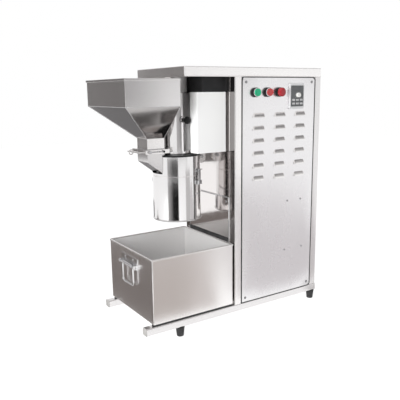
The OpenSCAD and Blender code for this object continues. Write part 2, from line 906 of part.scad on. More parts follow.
// The spindle's tube with its narrower neck and the boss for the clamp knob
module spindle_housing() {
    bore_r = bearing_d / 2 - 5;
    seat_r = bearing_d / 2;
    color("silver") machine() translate([spindle_x, mid_y, 0]) difference() {
        union() {
            rotate_extrude() polygon([
                [seat_r, lid_top], [spindle_r, lid_top], [spindle_r, yoke_z], [neck_d / 2, yoke_z],
                [neck_d / 2, deck_z], [seat_r, deck_z], [seat_r, deck_z - bearing_h],
                [bore_r, deck_z - bearing_h], [bore_r, lid_top + bearing_h], [seat_r, lid_top + bearing_h]
            ]);
            translate([0, 0, lid_top + clamp_z])
                y_rod(clamp_boss_d, -spindle_r - clamp_boss_out, -bore_r - over);
        }
        translate([0, 0, lid_top + clamp_z])
            y_rod(clamp_stud_d + 2 * run_fit, -spindle_r - clamp_boss_out - over, -bore_r + over);
    }
}

// The ball knob whose stud clamps the spindle's height
module clamp_knob() {
    neck_out = clamp_boss_out + 1 + clamp_ball_d / 2 + 6;
    color([0.08, 0.08, 0.08]) machine() translate([spindle_x, mid_y, lid_top + clamp_z]) {
        translate([0, -spindle_r - neck_out, 0]) sphere(d = clamp_ball_d);
        y_rod(clamp_stud_d + 6, -spindle_r - neck_out, -spindle_r - clamp_boss_out - slide_gap);
        y_rod(clamp_stud_d, -spindle_r - neck_out, -spindle_r + 6);
    }
}

// The cast yoke under the deck, with a seat for the neck in its side
module yoke() {
    y0 = mid_y - bracket_d / 2;
    color([0.1, 0.1, 0.1]) machine() difference() {
        translate([yoke_x, y0, yoke_z]) cube([yoke_w, bracket_d, yoke_h]);
        difference() {
            translate([yoke_x + yoke_wall, y0 + yoke_wall, yoke_z - over])
                cube([yoke_w - 2 * yoke_wall, bracket_d - 2 * yoke_wall, yoke_h - yoke_wall + over]);
            translate([spindle_x, mid_y, yoke_z]) cylinder(d = neck_d + 2 * yoke_wall, h = yoke_h);
        }
        translate([spindle_x, mid_y, yoke_z - over]) cylinder(d = neck_d + 2 * seat_gap, h = yoke_h + 2 * over);
    }
}

// The folded box under the yoke, cut out round the spindle's tube
module bracket_box() {
    y0 = mid_y - bracket_d / 2;
    w = bracket_w - bracket_gap;
    color("white") machine() difference() {
        translate([bracket_x, y0, bracket_z]) cube([w, bracket_d, bracket_h]);
        translate([bracket_x + bracket_wall, y0 + bracket_wall, bracket_z + bracket_wall])
            cube([w - 2 * bracket_wall, bracket_d - 2 * bracket_wall, bracket_h - 2 * bracket_wall]);
        translate([spindle_x, mid_y, bracket_z - over])
            cylinder(d = spindle_tube_d + 2 * bracket_clear, h = bracket_h + 2 * over);
    }
}

// The black lid that the spindle's tube stands on
module chamber_lid() {
    color([0.12, 0.12, 0.12]) machine() translate([spindle_x, mid_y, ring_top]) difference() {
        cylinder(d = chamber_d, h = lid_t);
        translate([0, 0, -over]) cylinder(d = shaft_d + 10, h = lid_t + 2 * over);
    }
}

// The polished ring round the rotor, with the window where the chute comes in
module chamber_ring() {
    color("lightgray") machine() difference() {
        translate([spindle_x, mid_y, ring_z]) difference() {
            cylinder(d = chamber_d, h = ring_h);
            translate([0, 0, -over]) cylinder(r = chamber_in, h = ring_h + 2 * over);
        }
        chute_passage();
    }
}

// The arm that hangs the ring's right side from the bracket box
module chamber_arm() {
    x1 = spindle_x + chamber_r + arm_w;
    color("gray") machine() difference() {
        translate([x1 - arm_w - arm_round, mid_y + arm_t / 2, bracket_z - arm_h]) facing_front()
            linear_extrude(arm_t) difference() {
                square([arm_w + arm_round, arm_h]);
                translate([arm_w, 0]) difference() {
                    square(arm_round + over);
                    translate([0, arm_round]) circle(arm_round);
                }
            }
        translate([spindle_x, mid_y, discharge_z]) cylinder(r = chamber_r, h = lid_top - discharge_z);
        translate([x1 - arm_w / 2, 0, bracket_z - arm_h / 2]) y_rod(arm_bolt_d / 2 + 0.4, 0, depth);
    }
}

// The bolt through the arm
module arm_bolt() {
    x1 = spindle_x + chamber_r + arm_w;
    head_t = 7;
    color("dimgray") machine() translate([x1 - arm_w / 2, mid_y, bracket_z - arm_h / 2]) {
        y_rod(arm_bolt_d / 2, -arm_t / 2 - over, arm_t / 2 + over);
        for (y = [-arm_t / 2, arm_t / 2 + head_t])
            translate([0, y, 0]) facing_front() cylinder(d = arm_bolt_d, h = head_t, $fn = 6);
    }
}

// The perforated disc between the ring and the discharge tube
module screen() {
    color("gray") machine() translate([spindle_x, mid_y, screen_z]) difference() {
        cylinder(d = chamber_d, h = screen_t);
        for (r = [screen_pitch : screen_pitch : chamber_in - screen_hole_d])
            for (i = [0 : floor(2 * PI * r / screen_pitch) - 1])
                rotate(i * 360 / floor(2 * PI * r / screen_pitch)) translate([r, 0, -over])
                    cylinder(d = screen_hole_d, h = screen_t + 2 * over, $fn = 24);
    }
}

// The rotor: hub, disc, hammers under the disc and wings above it
module rotor() {
    hammer_w = 14;
    hammer_in = 22;
    color("darkgray") machine() translate([spindle_x, mid_y, rotor_z]) difference() {
        union() {
            cylinder(d = hub_d, h = hammer_h + disc_t + wing_h);
            translate([0, 0, hammer_h]) cylinder(d = rotor_d - 6, h = disc_t);
            intersection() {
                cylinder(d = rotor_d, h = hammer_h + disc_t + wing_h);
                for (i = [0 : hammer_count - 1]) rotate(i * 360 / hammer_count) {
                    translate([rotor_d / 2 - hammer_in, -hammer_w / 2, 0])
                        cube([hammer_in, hammer_w, hammer_h + disc_t / 2]);
                    translate([hub_d / 2 - 2, -3, hammer_h + disc_t / 2])
                        cube([rotor_d / 2 - hub_d / 2 - 6, 6, wing_h]);
                }
            }
        }
        translate([0, 0, -over]) cylinder(d = shaft_d, h = hammer_h + disc_t + wing_h + 2 * over);
    }
}

// The tube that drops the powder into the bin, with a bead round its lower edge
module discharge_tube() {
    color("lightgray") machine() translate([spindle_x, mid_y, discharge_z]) rotate_extrude() {
        translate([chamber_in, 0]) square([chamber_wall, discharge_h]);
        translate([chamber_r, bead]) circle(bead);
    }
}

// Puts a piece at both latches: X points out of the chamber, with X = 0 on its wall
module at_latch(i) {
    translate([spindle_x, mid_y, 0]) rotate(latch_angle + i * 180) translate([chamber_r, 0, 0]) children();
}

// The pivot plates, pins and keepers of the two latches
module latch_mounts() {
    half = latch_w / 2 + latch_side_gap;
    keeper_z = latch_pin_z + latch_reach - keeper_h;
    color("silver") machine() difference() {
        for (i = [0, 1]) at_latch(i) {
            for (s = [-1, 1]) translate([-4, s * (half + latch_ear_t / 2) - latch_ear_t / 2, latch_pin_z - 8])
                cube([latch_pin_out + latch_pin_d / 2 + 6, latch_ear_t, 16]);
            translate([latch_pin_out, 0, latch_pin_z])
                y_rod(latch_pin_d, -half - latch_ear_t, half + latch_ear_t);
            translate([-4, -half, keeper_z]) cube([keeper_out + 4, 2 * half, keeper_h]);
        }
        translate([spindle_x, mid_y, discharge_z]) cylinder(r = chamber_r, h = lid_top - discharge_z);
    }
}

// A hook that swings on its pin and catches over its keeper
module latch_hook(i) {
    nose_t = 4;
    tab = 9;
    top = latch_reach + latch_nose_gap;
    color("silver") machine() at_latch(i) translate([latch_pin_out, 0, latch_pin_z]) difference() {
        union() {
            y_rod(latch_pin_d + 5, -latch_w / 2, latch_w / 2);
            translate([-latch_arm_t / 2, -latch_w / 2, 0]) cube([latch_arm_t, latch_w, top + nose_t]);
            translate([-5, -latch_w / 2, top]) cube([5, latch_w, nose_t]);
            translate([0, -latch_w / 2, top + nose_t - 2.5]) cube([tab, latch_w, 2.5]);
        }
        y_rod(latch_pin_d + 2 * run_fit, -latch_w, latch_w);
    }
}

module latch_right() { latch_hook(0); }
module latch_left() { latch_hook(1); }

// The inside or outside of hopper, funnel and duct: two outlines crossed
module hopper_form(grow, top, foot) {
    side = [
        [hopper_left + grow, top], [duct_right - grow, top], [duct_right - grow, foot],
        [duct_left + grow, foot], [duct_left + grow, duct_top + grow / 2],
        [hopper_left + grow, funnel_top + grow / 2]
    ];
    half_top = hopper_d / 2 - grow;
    half_duct = duct_d / 2 - grow;
    front = [
        [-half_top, top], [half_top, top], [half_top, funnel_top + grow / 2],
        [half_duct, duct_top + grow / 2], [half_duct, foot], [-half_duct, foot],
        [-half_duct, duct_top + grow / 2], [-half_top, funnel_top + grow / 2]
    ];
    intersection() {
        translate([0, mid_y + hopper_d / 2, 0]) rotate([90, 0, 0]) linear_extrude(hopper_d) polygon(side);
        translate([hopper_left, mid_y, 0]) rotate([90, 0, 90]) linear_extrude(hopper_w) polygon(front);
    }
}

// The feed hopper: upright walls with a folded rim, a funnel and a square duct
module hopper() {
    color("gainsboro") machine() difference() {
        union() {
            hopper_form(0, hopper_top, gate_top);
            translate([hopper_left - rim_out, mid_y - hopper_d / 2 - rim_out, hopper_top - rim_h])
                cube([hopper_w + rim_out, hopper_d + 2 * rim_out, rim_h]);
        }
        hopper_form(hopper_sheet, hopper_top + over, gate_top - over);
    }
}

// The angle that ties the hopper's right wall to the deck
module hopper_bracket() {
    leg = 26;
    drop = 40;
    t = 3;
    length = 120;
    color("silver") machine() translate([duct_right, mid_y + length / 2, deck_z - drop]) facing_front()
        linear_extrude(length) {
            square([t, drop]);
            translate([0, drop - t]) square([leg, t]);
        }
}

// The gate's frame round the duct, slotted for the plate
module gate_frame() {
    d = duct_d + 2 * gate_flange;
    color("silver") machine() difference() {
        translate([gate_left, mid_y - d / 2, gate_z]) cube([gate_right - gate_left, d, gate_h]);
        translate([duct_left + hopper_sheet, mid_y - duct_d / 2 + hopper_sheet, gate_z - over])
            cube([duct_w - 2 * hopper_sheet, duct_d - 2 * hopper_sheet, gate_h + 2 * over]);
        translate([gate_left - over, mid_y - plate_d / 2 - slide_gap, slot_z])
            cube([gate_right - gate_left - gate_wall + over, plate_d + 2 * slide_gap, slot_h]);
        translate([lever_pivot_x, gate_front, lever_pivot_z])
            y_rod(lever_pin_d + 2 * run_fit, -over, lever_pin_in + 1);
    }
}

// The gate's sliding plate with its pull ring
module gate_plate() {
    x0 = gate_left - gate_tail;
    x1 = gate_right - gate_wall - slide_gap;
    z0 = slot_z + slide_gap;
    ring_x = x0 - pull_d / 2 + 2 * pull_r;
    color("silver") machine() {
        translate([x0, mid_y - plate_d / 2, z0]) cube([x1 - x0, plate_d, gate_t]);
        translate([ring_x, mid_y, z0 + gate_t / 2]) rotate([90, 0, 0])
            rotate_extrude() translate([pull_d / 2 - pull_r, 0]) circle(pull_r);
    }
}

// The lever that clamps the plate where it is set
module gate_lever() {
    color("gray") machine() translate([lever_pivot_x, gate_front, lever_pivot_z]) {
        y_rod(lever_hub_d, -lever_hub_t - slide_gap, -slide_gap);
        y_rod(lever_pin_d, -lever_hub_t, lever_pin_in);
        translate([0, -lever_hub_t / 2 - slide_gap, 0]) rotate([0, 90, 0])
            cylinder(d = lever_rod_d, h = lever_len - lever_ball_d / 2 + over);
    }
}

// The black ball on the end of that lever
module lever_ball() {
    color("black") machine()
        translate([lever_pivot_x + lever_len, gate_front - lever_hub_t / 2 - slide_gap, lever_pivot_z])
            difference() {
                sphere(d = lever_ball_d);
                translate([-lever_ball_d, 0, 0]) rotate([0, 90, 0])
                    cylinder(d = lever_rod_d, h = lever_ball_d / 2 + over);
            }
}

// The chute's outline seen from the front, with a sloping floor
module chute_outline(grow, top) {
    polygon([
        [duct_left + grow, top], [duct_right - grow, top],
        [duct_right - grow, gate_z - chute_drop + 1.3 * grow],
        [duct_left + grow, gate_z - chute_knee + 0.6 * grow]
    ]);
}

// The way through the chute, which also cuts the window in the chamber ring
module chute_passage() {
    half = duct_d / 2 - hopper_sheet;
    translate([0, mid_y + half, 0]) rotate([90, 0, 0]) linear_extrude(2 * half) {
        chute_outline(hopper_sheet, gate_z + over);
        intersection() {
            translate([duct_right - hopper_sheet - over, gate_z - chute_drop + 1.3 * hopper_sheet])
                square([spindle_reach / 4, ring_top - gate_z + chute_drop - 4 * hopper_sheet]);
            translate([duct_left, ring_z + chamber_wall]) square([chamber_d, ring_h - 2 * chamber_wall]);
        }
    }
}

// The chute from the gate to the chamber ring
module chute() {
    color("lightgray") machine() difference() {
        translate([0, mid_y + duct_d / 2, 0]) rotate([90, 0, 0])
            linear_extrude(duct_d) chute_outline(0, gate_z);
        chute_passage();
        translate([spindle_x, mid_y, discharge_z]) cylinder(r = chamber_r, h = lid_top - discharge_z);
    }
}

// The open bin that catches the powder, with a rolled rim
module bin() {
    rim_r = bin_rim_d / 2;
    color("lightgray") machine() {
        difference() {
            translate([bin_left, 0, bin_z]) cube([bin_w, bin_d, bin_h]);
            translate([bin_left + bin_sheet, bin_sheet, bin_z + bin_sheet])
                cube([bin_w - 2 * bin_sheet, bin_d - 2 * bin_sheet, bin_h]);
        }
        for (y = [0, bin_d]) translate([bin_left, y, bin_top]) rotate([0, 90, 0])
            cylinder(r = rim_r, h = bin_w);
        for (x = [bin_left, bin_right]) translate([x, 0, bin_top]) {
            rotate([-90, 0, 0]) cylinder(r = rim_r, h = bin_d);
            for (y = [0, bin_d]) translate([0, y, 0]) sphere(rim_r);
        }
    }
}

// Two strips under the bin that slide on the rails
module bin_runners() {
    inset = 6;
    w = tube - 6;
    color("black") machine()
        for (y = [tube / 2, depth - tube / 2])
            translate([bin_left + inset, y - w / 2, runner_z]) cube([bin_w - 2 * inset, w, runner_t]);
}

// One knuckle of the handle's barrel, tied to the plate behind it
module barrel_knuckle(length) {
    translate([-pivot_out, 0, 0]) y_rod(eye_d, -length / 2, length / 2);
    translate([-pivot_out, -length / 2, -eye_d / 2]) cube([pivot_out, length, eye_d]);
}

// The handle's plate with its barrel: a long knuckle between the bail's legs and an eye outside each
module handle_plate() {
    above = 0.72 * handle_h;
    color("silver") machine() translate([bin_left, mid_y, pivot_z]) difference() {
        union() {
            translate([-handle_plate_t, -handle_w / 2, above - handle_h])
                cube([handle_plate_t, handle_w, handle_h]);
            barrel_knuckle(2 * barrel_half);
            for (s = [-1, 1]) translate([0, s * eye_y, 0]) barrel_knuckle(eye_w);
        }
        for (s = [-1, 1]) translate([-pivot_out, s * eye_y, 0])
            y_rod(bail_d + 2 * run_fit, -eye_w, eye_w);
    }
}

// One side of the bail: pivot end, upper bend, leg and lower corner
module bail_side() {
    leg = bail_drop - bail_bend - bail_corner;
    end = eye_y + eye_w / 4 - bail_w / 2;
    translate([0, bail_bend, 0]) rotate([-90, 0, 0]) cylinder(d = bail_d, h = end - bail_bend);
    translate([0, bail_bend, -bail_bend]) bail_turn(bail_bend, 180);
    translate([0, 0, -bail_bend - leg]) cylinder(d = bail_d, h = leg);
    translate([0, -bail_corner, -bail_bend - leg]) bail_turn(bail_corner, 0);
}

// A quarter turn of the bail's rod in the plane of Y and Z
module bail_turn(radius, turn) {
    rotate([turn, 0, 0]) rotate([0, 90, 0])
        rotate_extrude(angle = 90) translate([radius, 0]) circle(d = bail_d);
}

// The bail that folds up for lifting
module handle_bail() {
    color("silver") machine() translate([pivot_x, mid_y, pivot_z]) {
        for (s = [0, 1]) mirror([0, s, 0]) translate([0, bail_w / 2, 0]) bail_side();
        translate([0, -bail_w / 2 + bail_corner, -bail_drop]) rotate([-90, 0, 0])
            cylinder(d = bail_d, h = bail_w - 2 * bail_corner);
    }
}

base_frame();
rail_caps();
feet();
posts();
floor_plate();
front_panel();
panel_screws();
side_panel();
rear_panel();
bay_wall();
bay_cover();
deck();
top_cover();
button_collars();
button_rings();
start_cap();
stop_cap();
lamp_lens();
control_frame();
control_face();
speed_knob();
key_1();
key_2();
key_3();
key_4();
key_5();
key_6();
motor_body();
motor_shaft();
motor_pulley();
belt();
spindle_pulley();
spindle_shaft();
spindle_bearings();
spindle_housing();
yoke();
bracket_box();
clamp_knob();
chamber_lid();
chamber_ring();
chamber_arm();
arm_bolt();
screen();
rotor();
discharge_tube();
latch_mounts();
latch_left();
latch_right();
hopper();
hopper_bracket();
gate_frame();
gate_plate();
gate_lever();
lever_ball();
chute();
bin();
bin_runners();
handle_plate();
handle_bail();
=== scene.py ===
# %% [markdown]
# # A floor-standing pulverizer, dressed in Blender
# The machine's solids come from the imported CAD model. This file gives them their finishes, eases
# their edges, and adds the small things that a workshop would: screws, rivets, welds and louvres.
# Each step first says what the real piece is and then why it is made the way it is.

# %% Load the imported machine
import json
import math
import bmesh
import bpy
from mathutils import Matrix, Vector


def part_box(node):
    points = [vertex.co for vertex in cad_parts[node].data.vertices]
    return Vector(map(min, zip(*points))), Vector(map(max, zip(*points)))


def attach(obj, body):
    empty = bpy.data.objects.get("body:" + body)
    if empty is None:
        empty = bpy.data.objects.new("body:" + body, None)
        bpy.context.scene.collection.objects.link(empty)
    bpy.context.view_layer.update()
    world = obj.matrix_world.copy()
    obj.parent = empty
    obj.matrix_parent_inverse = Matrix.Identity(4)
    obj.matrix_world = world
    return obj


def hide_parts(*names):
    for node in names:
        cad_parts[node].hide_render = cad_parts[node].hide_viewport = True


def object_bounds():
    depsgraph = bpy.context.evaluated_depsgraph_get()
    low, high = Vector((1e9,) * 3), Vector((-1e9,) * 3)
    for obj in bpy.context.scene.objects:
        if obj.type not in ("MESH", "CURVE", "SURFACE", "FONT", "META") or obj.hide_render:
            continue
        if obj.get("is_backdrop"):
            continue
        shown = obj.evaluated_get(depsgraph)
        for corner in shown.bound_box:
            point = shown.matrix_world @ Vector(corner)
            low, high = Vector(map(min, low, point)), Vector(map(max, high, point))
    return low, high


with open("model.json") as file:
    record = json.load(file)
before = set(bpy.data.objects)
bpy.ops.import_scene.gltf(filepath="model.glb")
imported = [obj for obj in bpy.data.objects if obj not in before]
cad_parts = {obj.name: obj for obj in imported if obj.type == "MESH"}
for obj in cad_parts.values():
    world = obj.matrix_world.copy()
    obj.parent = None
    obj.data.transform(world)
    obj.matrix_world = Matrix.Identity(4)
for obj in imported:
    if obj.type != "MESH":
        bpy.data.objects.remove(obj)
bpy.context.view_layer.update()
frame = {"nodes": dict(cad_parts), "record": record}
scene = bpy.context.scene

# %% [markdown]
# The workshop drawing counts in millimetres from the cabinet's front right corner on the floor.
# `spot` turns such a place into metres in the shared frame, so that later cells can use the
# drawing's numbers. The corner itself is read from the top cover, which ends exactly there.

# %% Places on the drawing
MM = 0.001
cover_low, cover_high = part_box("top_cover")
corner = Vector((cover_high.x, cover_low.y, 0.0))


def spot(x, y, z):
    return corner + Vector((x, y, z)) * MM


def drawn(node):
    """A node's box in the drawing's millimetres: lowest corner, highest corner, middle."""
    low, high = ((v - corner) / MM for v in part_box(node))
    return low, high, (low + high) / 2


print("drawing corner", [round(v, 4) for v in corner])

# %% [markdown]
# The camera was fitted to the straight edges of the photograph: a lens of about 48 mm on a square
# frame, standing to the left and a little above the hopper. Yaw, pitch and roll turn it.

# %% Camera
FRAME_PIXELS = 400
FOCAL_PIXELS = 536.62
SENSOR_MM = 36.0
YAW, PITCH, ROLL = (math.radians(a) for a in (33.14, 11.417, -0.701))
STANDS_AT = (-1735, -1693, 948)

ahead = Vector((math.sin(YAW) * math.cos(PITCH), math.cos(YAW) * math.cos(PITCH), -math.sin(PITCH)))
level = Vector((math.cos(YAW), -math.sin(YAW), 0.0))
above = level.cross(ahead)
right = math.cos(ROLL) * level + math.sin(ROLL) * above
up = -math.sin(ROLL) * level + math.cos(ROLL) * above
lens = bpy.data.cameras.new("photo_lens")
lens.sensor_width = SENSOR_MM
lens.lens = SENSOR_MM * FOCAL_PIXELS / FRAME_PIXELS
camera = bpy.data.objects.new("photo_camera", lens)
stand = Matrix.Translation(spot(*STANDS_AT))
camera.matrix_world = stand @ Matrix((right, up, -ahead)).transposed().to_4x4()
scene.collection.objects.link(camera)
scene.camera = camera
print("lens", round(lens.lens, 2), "mm")

# %% [markdown]
# ## Finishes
# Stainless sheet is never one flat grey: it has the lines of its brushing, soft clouds from
# polishing, and smears where hands have been. All of these are noise on the piece's own object
# coordinates, stretched along the brushing. They move roughness and relief more than colour.

# %% Shader helpers
def feed(tree, socket, value):
    if isinstance(value, bpy.types.NodeSocket):
        tree.links.new(value, socket)
    else:
        socket.default_value = value


def fill(tree, node, **inputs):
    """Links a node's inputs to sockets, or sets them to values."""
    for label, value in inputs.items():
        feed(tree, node.inputs[label.replace("_", " ")], value)


def add(tree, kind, setting=None, give=0, **inputs):
    """Adds a node with one setting and its inputs, and gives one of its outputs."""
    node = tree.nodes.new(kind)
    if setting:
        setattr(node, *setting)
    fill(tree, node, **inputs)
    return node.outputs[give]


def blank(name, **values):
    finish = bpy.data.materials.new(name)
    finish.use_nodes = True
    shader = finish.node_tree.nodes["Principled BSDF"]
    fill(finish.node_tree, shader, **values)
    return finish, finish.node_tree, shader


def reckon(tree, operation, *values):
    result = add(tree, "ShaderNodeMath", ("operation", operation))
    for socket, value in zip(result.node.inputs, values):
        feed(tree, socket, value)
    return result


def grain(tree, stretch, detail=4.0, distortion=0.0):
    """Noise on object coordinates. stretch is its count per metre along X, Y and Z."""
    place = add(tree, "ShaderNodeTexCoord", give="Object")
    scaled = add(tree, "ShaderNodeMapping", Vector=place, Scale=stretch)
    return add(tree, "ShaderNodeTexNoise", Vector=scaled, Scale=1.0, Detail=detail, Distortion=distortion)


def spread(tree, value, low, high, start=0.3, end=0.7):
    """A grain mapped from its usual values to a range of the shader's own."""
    return add(tree, "ShaderNodeMapRange", Value=value, From_Min=start, From_Max=end, To_Min=low, To_Max=high)


def shades(tree, factor, dark, light):
    result = add(tree, "ShaderNodeMix", ("data_type", "RGBA"), give=2)
    for index, value in ((0, factor), (6, (*dark, 1.0)), (7, (*light, 1.0))):
        feed(tree, result.node.inputs[index], value)
    return result


def relief(tree, shader, height, depth_mm):
    bump = add(tree, "ShaderNodeBump", Height=height, Distance=depth_mm * MM, Strength=1.0)
    fill(tree, shader, Normal=bump)


print("shader helpers ready")

# %% [markdown]
# Three kinds of stainless steel show. Frame, panels, hopper and bin are satin sheet with a fine
# brushing; a brighter copy of it on the top cover is painted light, and a duller copy on the frame,
# chute, hopper box and right posts is painted shade. The wall of the bay is polished almost to a
# mirror, but thin sheet is never quite flat, so broad waves bend what it reflects. The tubes are
# polished along their length.

# %% Steel finishes
UPRIGHT = (1400.0, 1400.0, 9.0)
LEVEL = (9.0, 9.0, 1400.0)
CLOUDS = (3.1, 3.4, 2.7)
SMEARS = (13.0, 13.0, 8.0)
CLOUD_TONE = 0.97


def steel(name, tint, rough, brushing, lines=0.02, smear=0.025, depth=0.0004, waves=0.0, metal=1.0):
    finish, tree, shader = blank(name, Metallic=metal)
    brushed = grain(tree, brushing, detail=5.0)
    clouds = grain(tree, CLOUDS, detail=3.0)
    smears = grain(tree, SMEARS, detail=5.0, distortion=0.6)
    dark = tuple(CLOUD_TONE * c for c in tint)
    rubbed = spread(tree, brushed, rough - lines, rough + lines)
    touched = spread(tree, smears, 0.0, smear, start=0.48, end=0.75)
    fill(tree, shader, Base_Color=shades(tree, spread(tree, clouds, 0.0, 1.0), dark, tint),
         Roughness=reckon(tree, "ADD", rubbed, touched))
    if waves:
        relief(tree, shader, clouds, waves)
    else:
        relief(tree, shader, brushed, depth)
    return finish


STEEL = (0.92, 0.902, 0.895)
satin_upright = steel("satin_steel_upright", STEEL, 0.24, UPRIGHT, lines=0.004)
satin_level = steel("satin_steel_level", STEEL, 0.24, LEVEL, lines=0.004)
# A brighter copy for painted light and a duller copy for painted shade; only the tint differs.
satin_painted_light = steel("satin_steel_bright", (0.98, 0.965, 0.96), 0.24, LEVEL, lines=0.004)
satin_painted_shade = steel("satin_steel_dull", (0.79, 0.775, 0.775), 0.24, LEVEL, lines=0.004)
# A dark tint for the polished funnel: painted shade of the bay that it mirrors.
bright_funnel = steel("bright_funnel", (0.46, 0.445, 0.44), 0.11, LEVEL, lines=0.01, smear=0.03)
mirror_sheet = steel("mirror_sheet", (0.84, 0.81, 0.80), 0.05, UPRIGHT, smear=0.05, waves=0.4)
polished_tube = steel("polished_tube", (0.80, 0.79, 0.79), 0.11, (420.0, 420.0, 3.0), lines=0.03,
                      smear=0.03)
# A dark tint for the posts' flats that face the bay: painted shade.
polished_flat = steel("polished_flat", (0.36, 0.34, 0.335), 0.10, UPRIGHT, lines=0.01)
ground_steel = steel("ground_steel", (0.60, 0.60, 0.61), 0.24, (8.0, 8.0, 420.0))
plated_steel = steel("plated_steel", (0.58, 0.58, 0.59), 0.22, (90.0,) * 3)
mill_steel = steel("mill_steel", (0.76, 0.75, 0.745), 0.46, (40.0,) * 3, lines=0.03, metal=0.25)
satin_panel = steel("satin_panel", (0.86, 0.85, 0.86), 0.27, LEVEL, lines=0.003, smear=0.015,
                    depth=0.00004)
hood_steel = steel("pressed_hood", STEEL, 0.20, LEVEL, lines=0.004)
screw_steel = steel("screw_steel", (0.52, 0.52, 0.53), 0.25, (90.0,) * 3)
chrome = steel("handle_chrome", (0.86, 0.86, 0.87), 0.07, (60.0,) * 3, smear=0.06)
machined_iron = steel("machined_iron", (0.34, 0.34, 0.35), 0.42, (30.0, 30.0, 500.0))
print("steels", [m.name for m in bpy.data.materials if m.name.count("ste")])

# %% [markdown]
# Paint, rubber and moulded plastic are not metals. Paint has a fine orange-peel, rubber is dull and
# dusty, and mouldings have a slight grain from the mould. The lamp's lens lets light in, so it gets
# some transmission, and the button caps a thin clear gloss.

# %% Paint, rubber and plastic finishes
def moulded(name, colour, rough, texture=180.0, depth=0.02, dust=0.06, uneven=0.08, **values):
    finish, tree, shader = blank(name, **values)
    speck = grain(tree, (texture,) * 3, detail=3.0)
    cloud = grain(tree, (21.0,) * 3, detail=4.0)
    pale = tuple(c + dust * (0.5 - 0.5 * c) for c in colour)
    dusty = spread(tree, cloud, 0.0, 1.0, start=0.4, end=0.8)
    fill(tree, shader, Base_Color=shades(tree, dusty, colour, pale),
         Roughness=spread(tree, cloud, rough - uneven, rough + uneven))
    relief(tree, shader, speck, depth)
    return finish


white_enamel = moulded("white_enamel", (0.88, 0.88, 0.875), 0.34, texture=420.0, depth=0.004, dust=0.0,
                       uneven=0.01)
black_enamel = moulded("black_enamel", (0.010, 0.010, 0.011), 0.38, texture=420.0, depth=0.01, dust=0.02,
                       Specular_IOR_Level=0.25)
motor_enamel = moulded("motor_enamel", (0.20, 0.27, 0.34), 0.42, texture=300.0)
foot_rubber = moulded("foot_rubber", (0.016, 0.016, 0.017), 0.62, dust=0.12)
belt_rubber = moulded("belt_rubber", (0.030, 0.030, 0.031), 0.70, dust=0.10)
runner_nylon = moulded("runner_nylon", (0.022, 0.021, 0.021), 0.50)
cap_grey = moulded("rail_cap_grey", (0.42, 0.41, 0.40), 0.45)
collar_black = moulded("collar_black", (0.010, 0.010, 0.011), 0.42, dust=0.02, Specular_IOR_Level=0.2)
cap_green = moulded("cap_green", (0.002, 0.40, 0.19), 0.34, dust=0.0, Coat_Weight=0.15)
cap_red = moulded("cap_red", (0.50, 0.045, 0.050), 0.34, dust=0.0, Coat_Weight=0.15)
knob_white = moulded("knob_white", (0.84, 0.84, 0.82), 0.34)
frame_light = moulded("controller_light", (0.72, 0.72, 0.73), 0.38, texture=500.0)
key_grey = moulded("key_grey", (0.52, 0.52, 0.53), 0.36)
face_dark = moulded("controller_dark", (0.075, 0.079, 0.084), 0.22, Coat_Weight=0.5)
ball_black = moulded("ball_black", (0.008, 0.008, 0.008), 0.30, dust=0.0, Specular_IOR_Level=0.15)
lamp_red = moulded("lamp_red", (0.58, 0.016, 0.030), 0.16, Transmission_Weight=0.35)
print("finishes", len(bpy.data.materials))

# %% [markdown]
# Every CAD solid gets its finish by the slot that the record names. Most are covered by a
# dressed piece later; the inner ones, such as motor, belt and rotor, keep their own solid.

# %% Finishes of the CAD solids
BY_SLOT = {
    "steel": satin_level, "mirror_steel": mirror_sheet, "polished": polished_tube,
    "shaft_steel": ground_steel, "screw": plated_steel, "bright_ring": chrome, "cast": machined_iron,
    "black_paint": black_enamel, "white_paint": white_enamel, "motor_paint": motor_enamel,
    "rubber": foot_rubber, "belt_rubber": belt_rubber, "runner": runner_nylon, "dark_plastic": cap_grey,
    "black_plastic": collar_black, "green_plastic": cap_green, "red_plastic": cap_red,
    "white_plastic": knob_white, "light_plastic": frame_light, "face_plastic": face_dark,
    "lens": lamp_red,
}
slot_of = {part["node"]: part["material_slot"] for part in frame["record"]["subparts"]}
for node, slot in slot_of.items():
    solid = frame["nodes"][node].data
    solid.materials.clear()
    solid.materials.append(BY_SLOT[slot])
# The base frame takes the duller satin copy: painted shade.
frame["nodes"]["base_frame"].data.materials[0] = satin_painted_shade
print("slots", sorted(set(slot_of.values())))

# %% [markdown]
# ## Mesh helpers
# A finished piece keeps its place in its mesh, with its object at the origin. `settle` gives it a
# finish, rides it on its body and lets it stand for CAD nodes. `flatten` bakes live modifiers.

# %% Piece helpers
SHARP = math.radians(10)
ROUND = math.radians(40)
EASED_FROM = math.radians(35)
body_of = {node: body for body, nodes in frame["record"]["behaviour"]["bodies"].items() for node in nodes}


def made(name, mesh):
    piece = bpy.data.objects.new(name, mesh)
    scene.collection.objects.link(piece)
    return piece


def from_bmesh(name, work, shade=SHARP):
    mesh = bpy.data.meshes.new(name)
    bmesh.ops.recalc_face_normals(work, faces=work.faces)
    work.to_mesh(mesh)
    work.free()
    mesh.shade_smooth()
    mesh.set_sharp_from_angle(angle=shade)
    return made(name, mesh)


def flatten(piece, shade=SHARP):
    """Turns a piece with modifiers into a plain mesh."""
    graph = bpy.context.evaluated_depsgraph_get()
    mesh = bpy.data.meshes.new_from_object(piece.evaluated_get(graph))
    mesh.shade_smooth()
    mesh.set_sharp_from_angle(angle=shade)
    piece.modifiers.clear()
    piece.data = mesh
    return piece


def settle(piece, finish, *nodes, body=None, slot=None):
    if not piece.data.materials:
        piece.data.materials.append(finish)
    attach(piece, body or body_of[nodes[0]])
    if nodes:
        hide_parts(*nodes)
    return piece


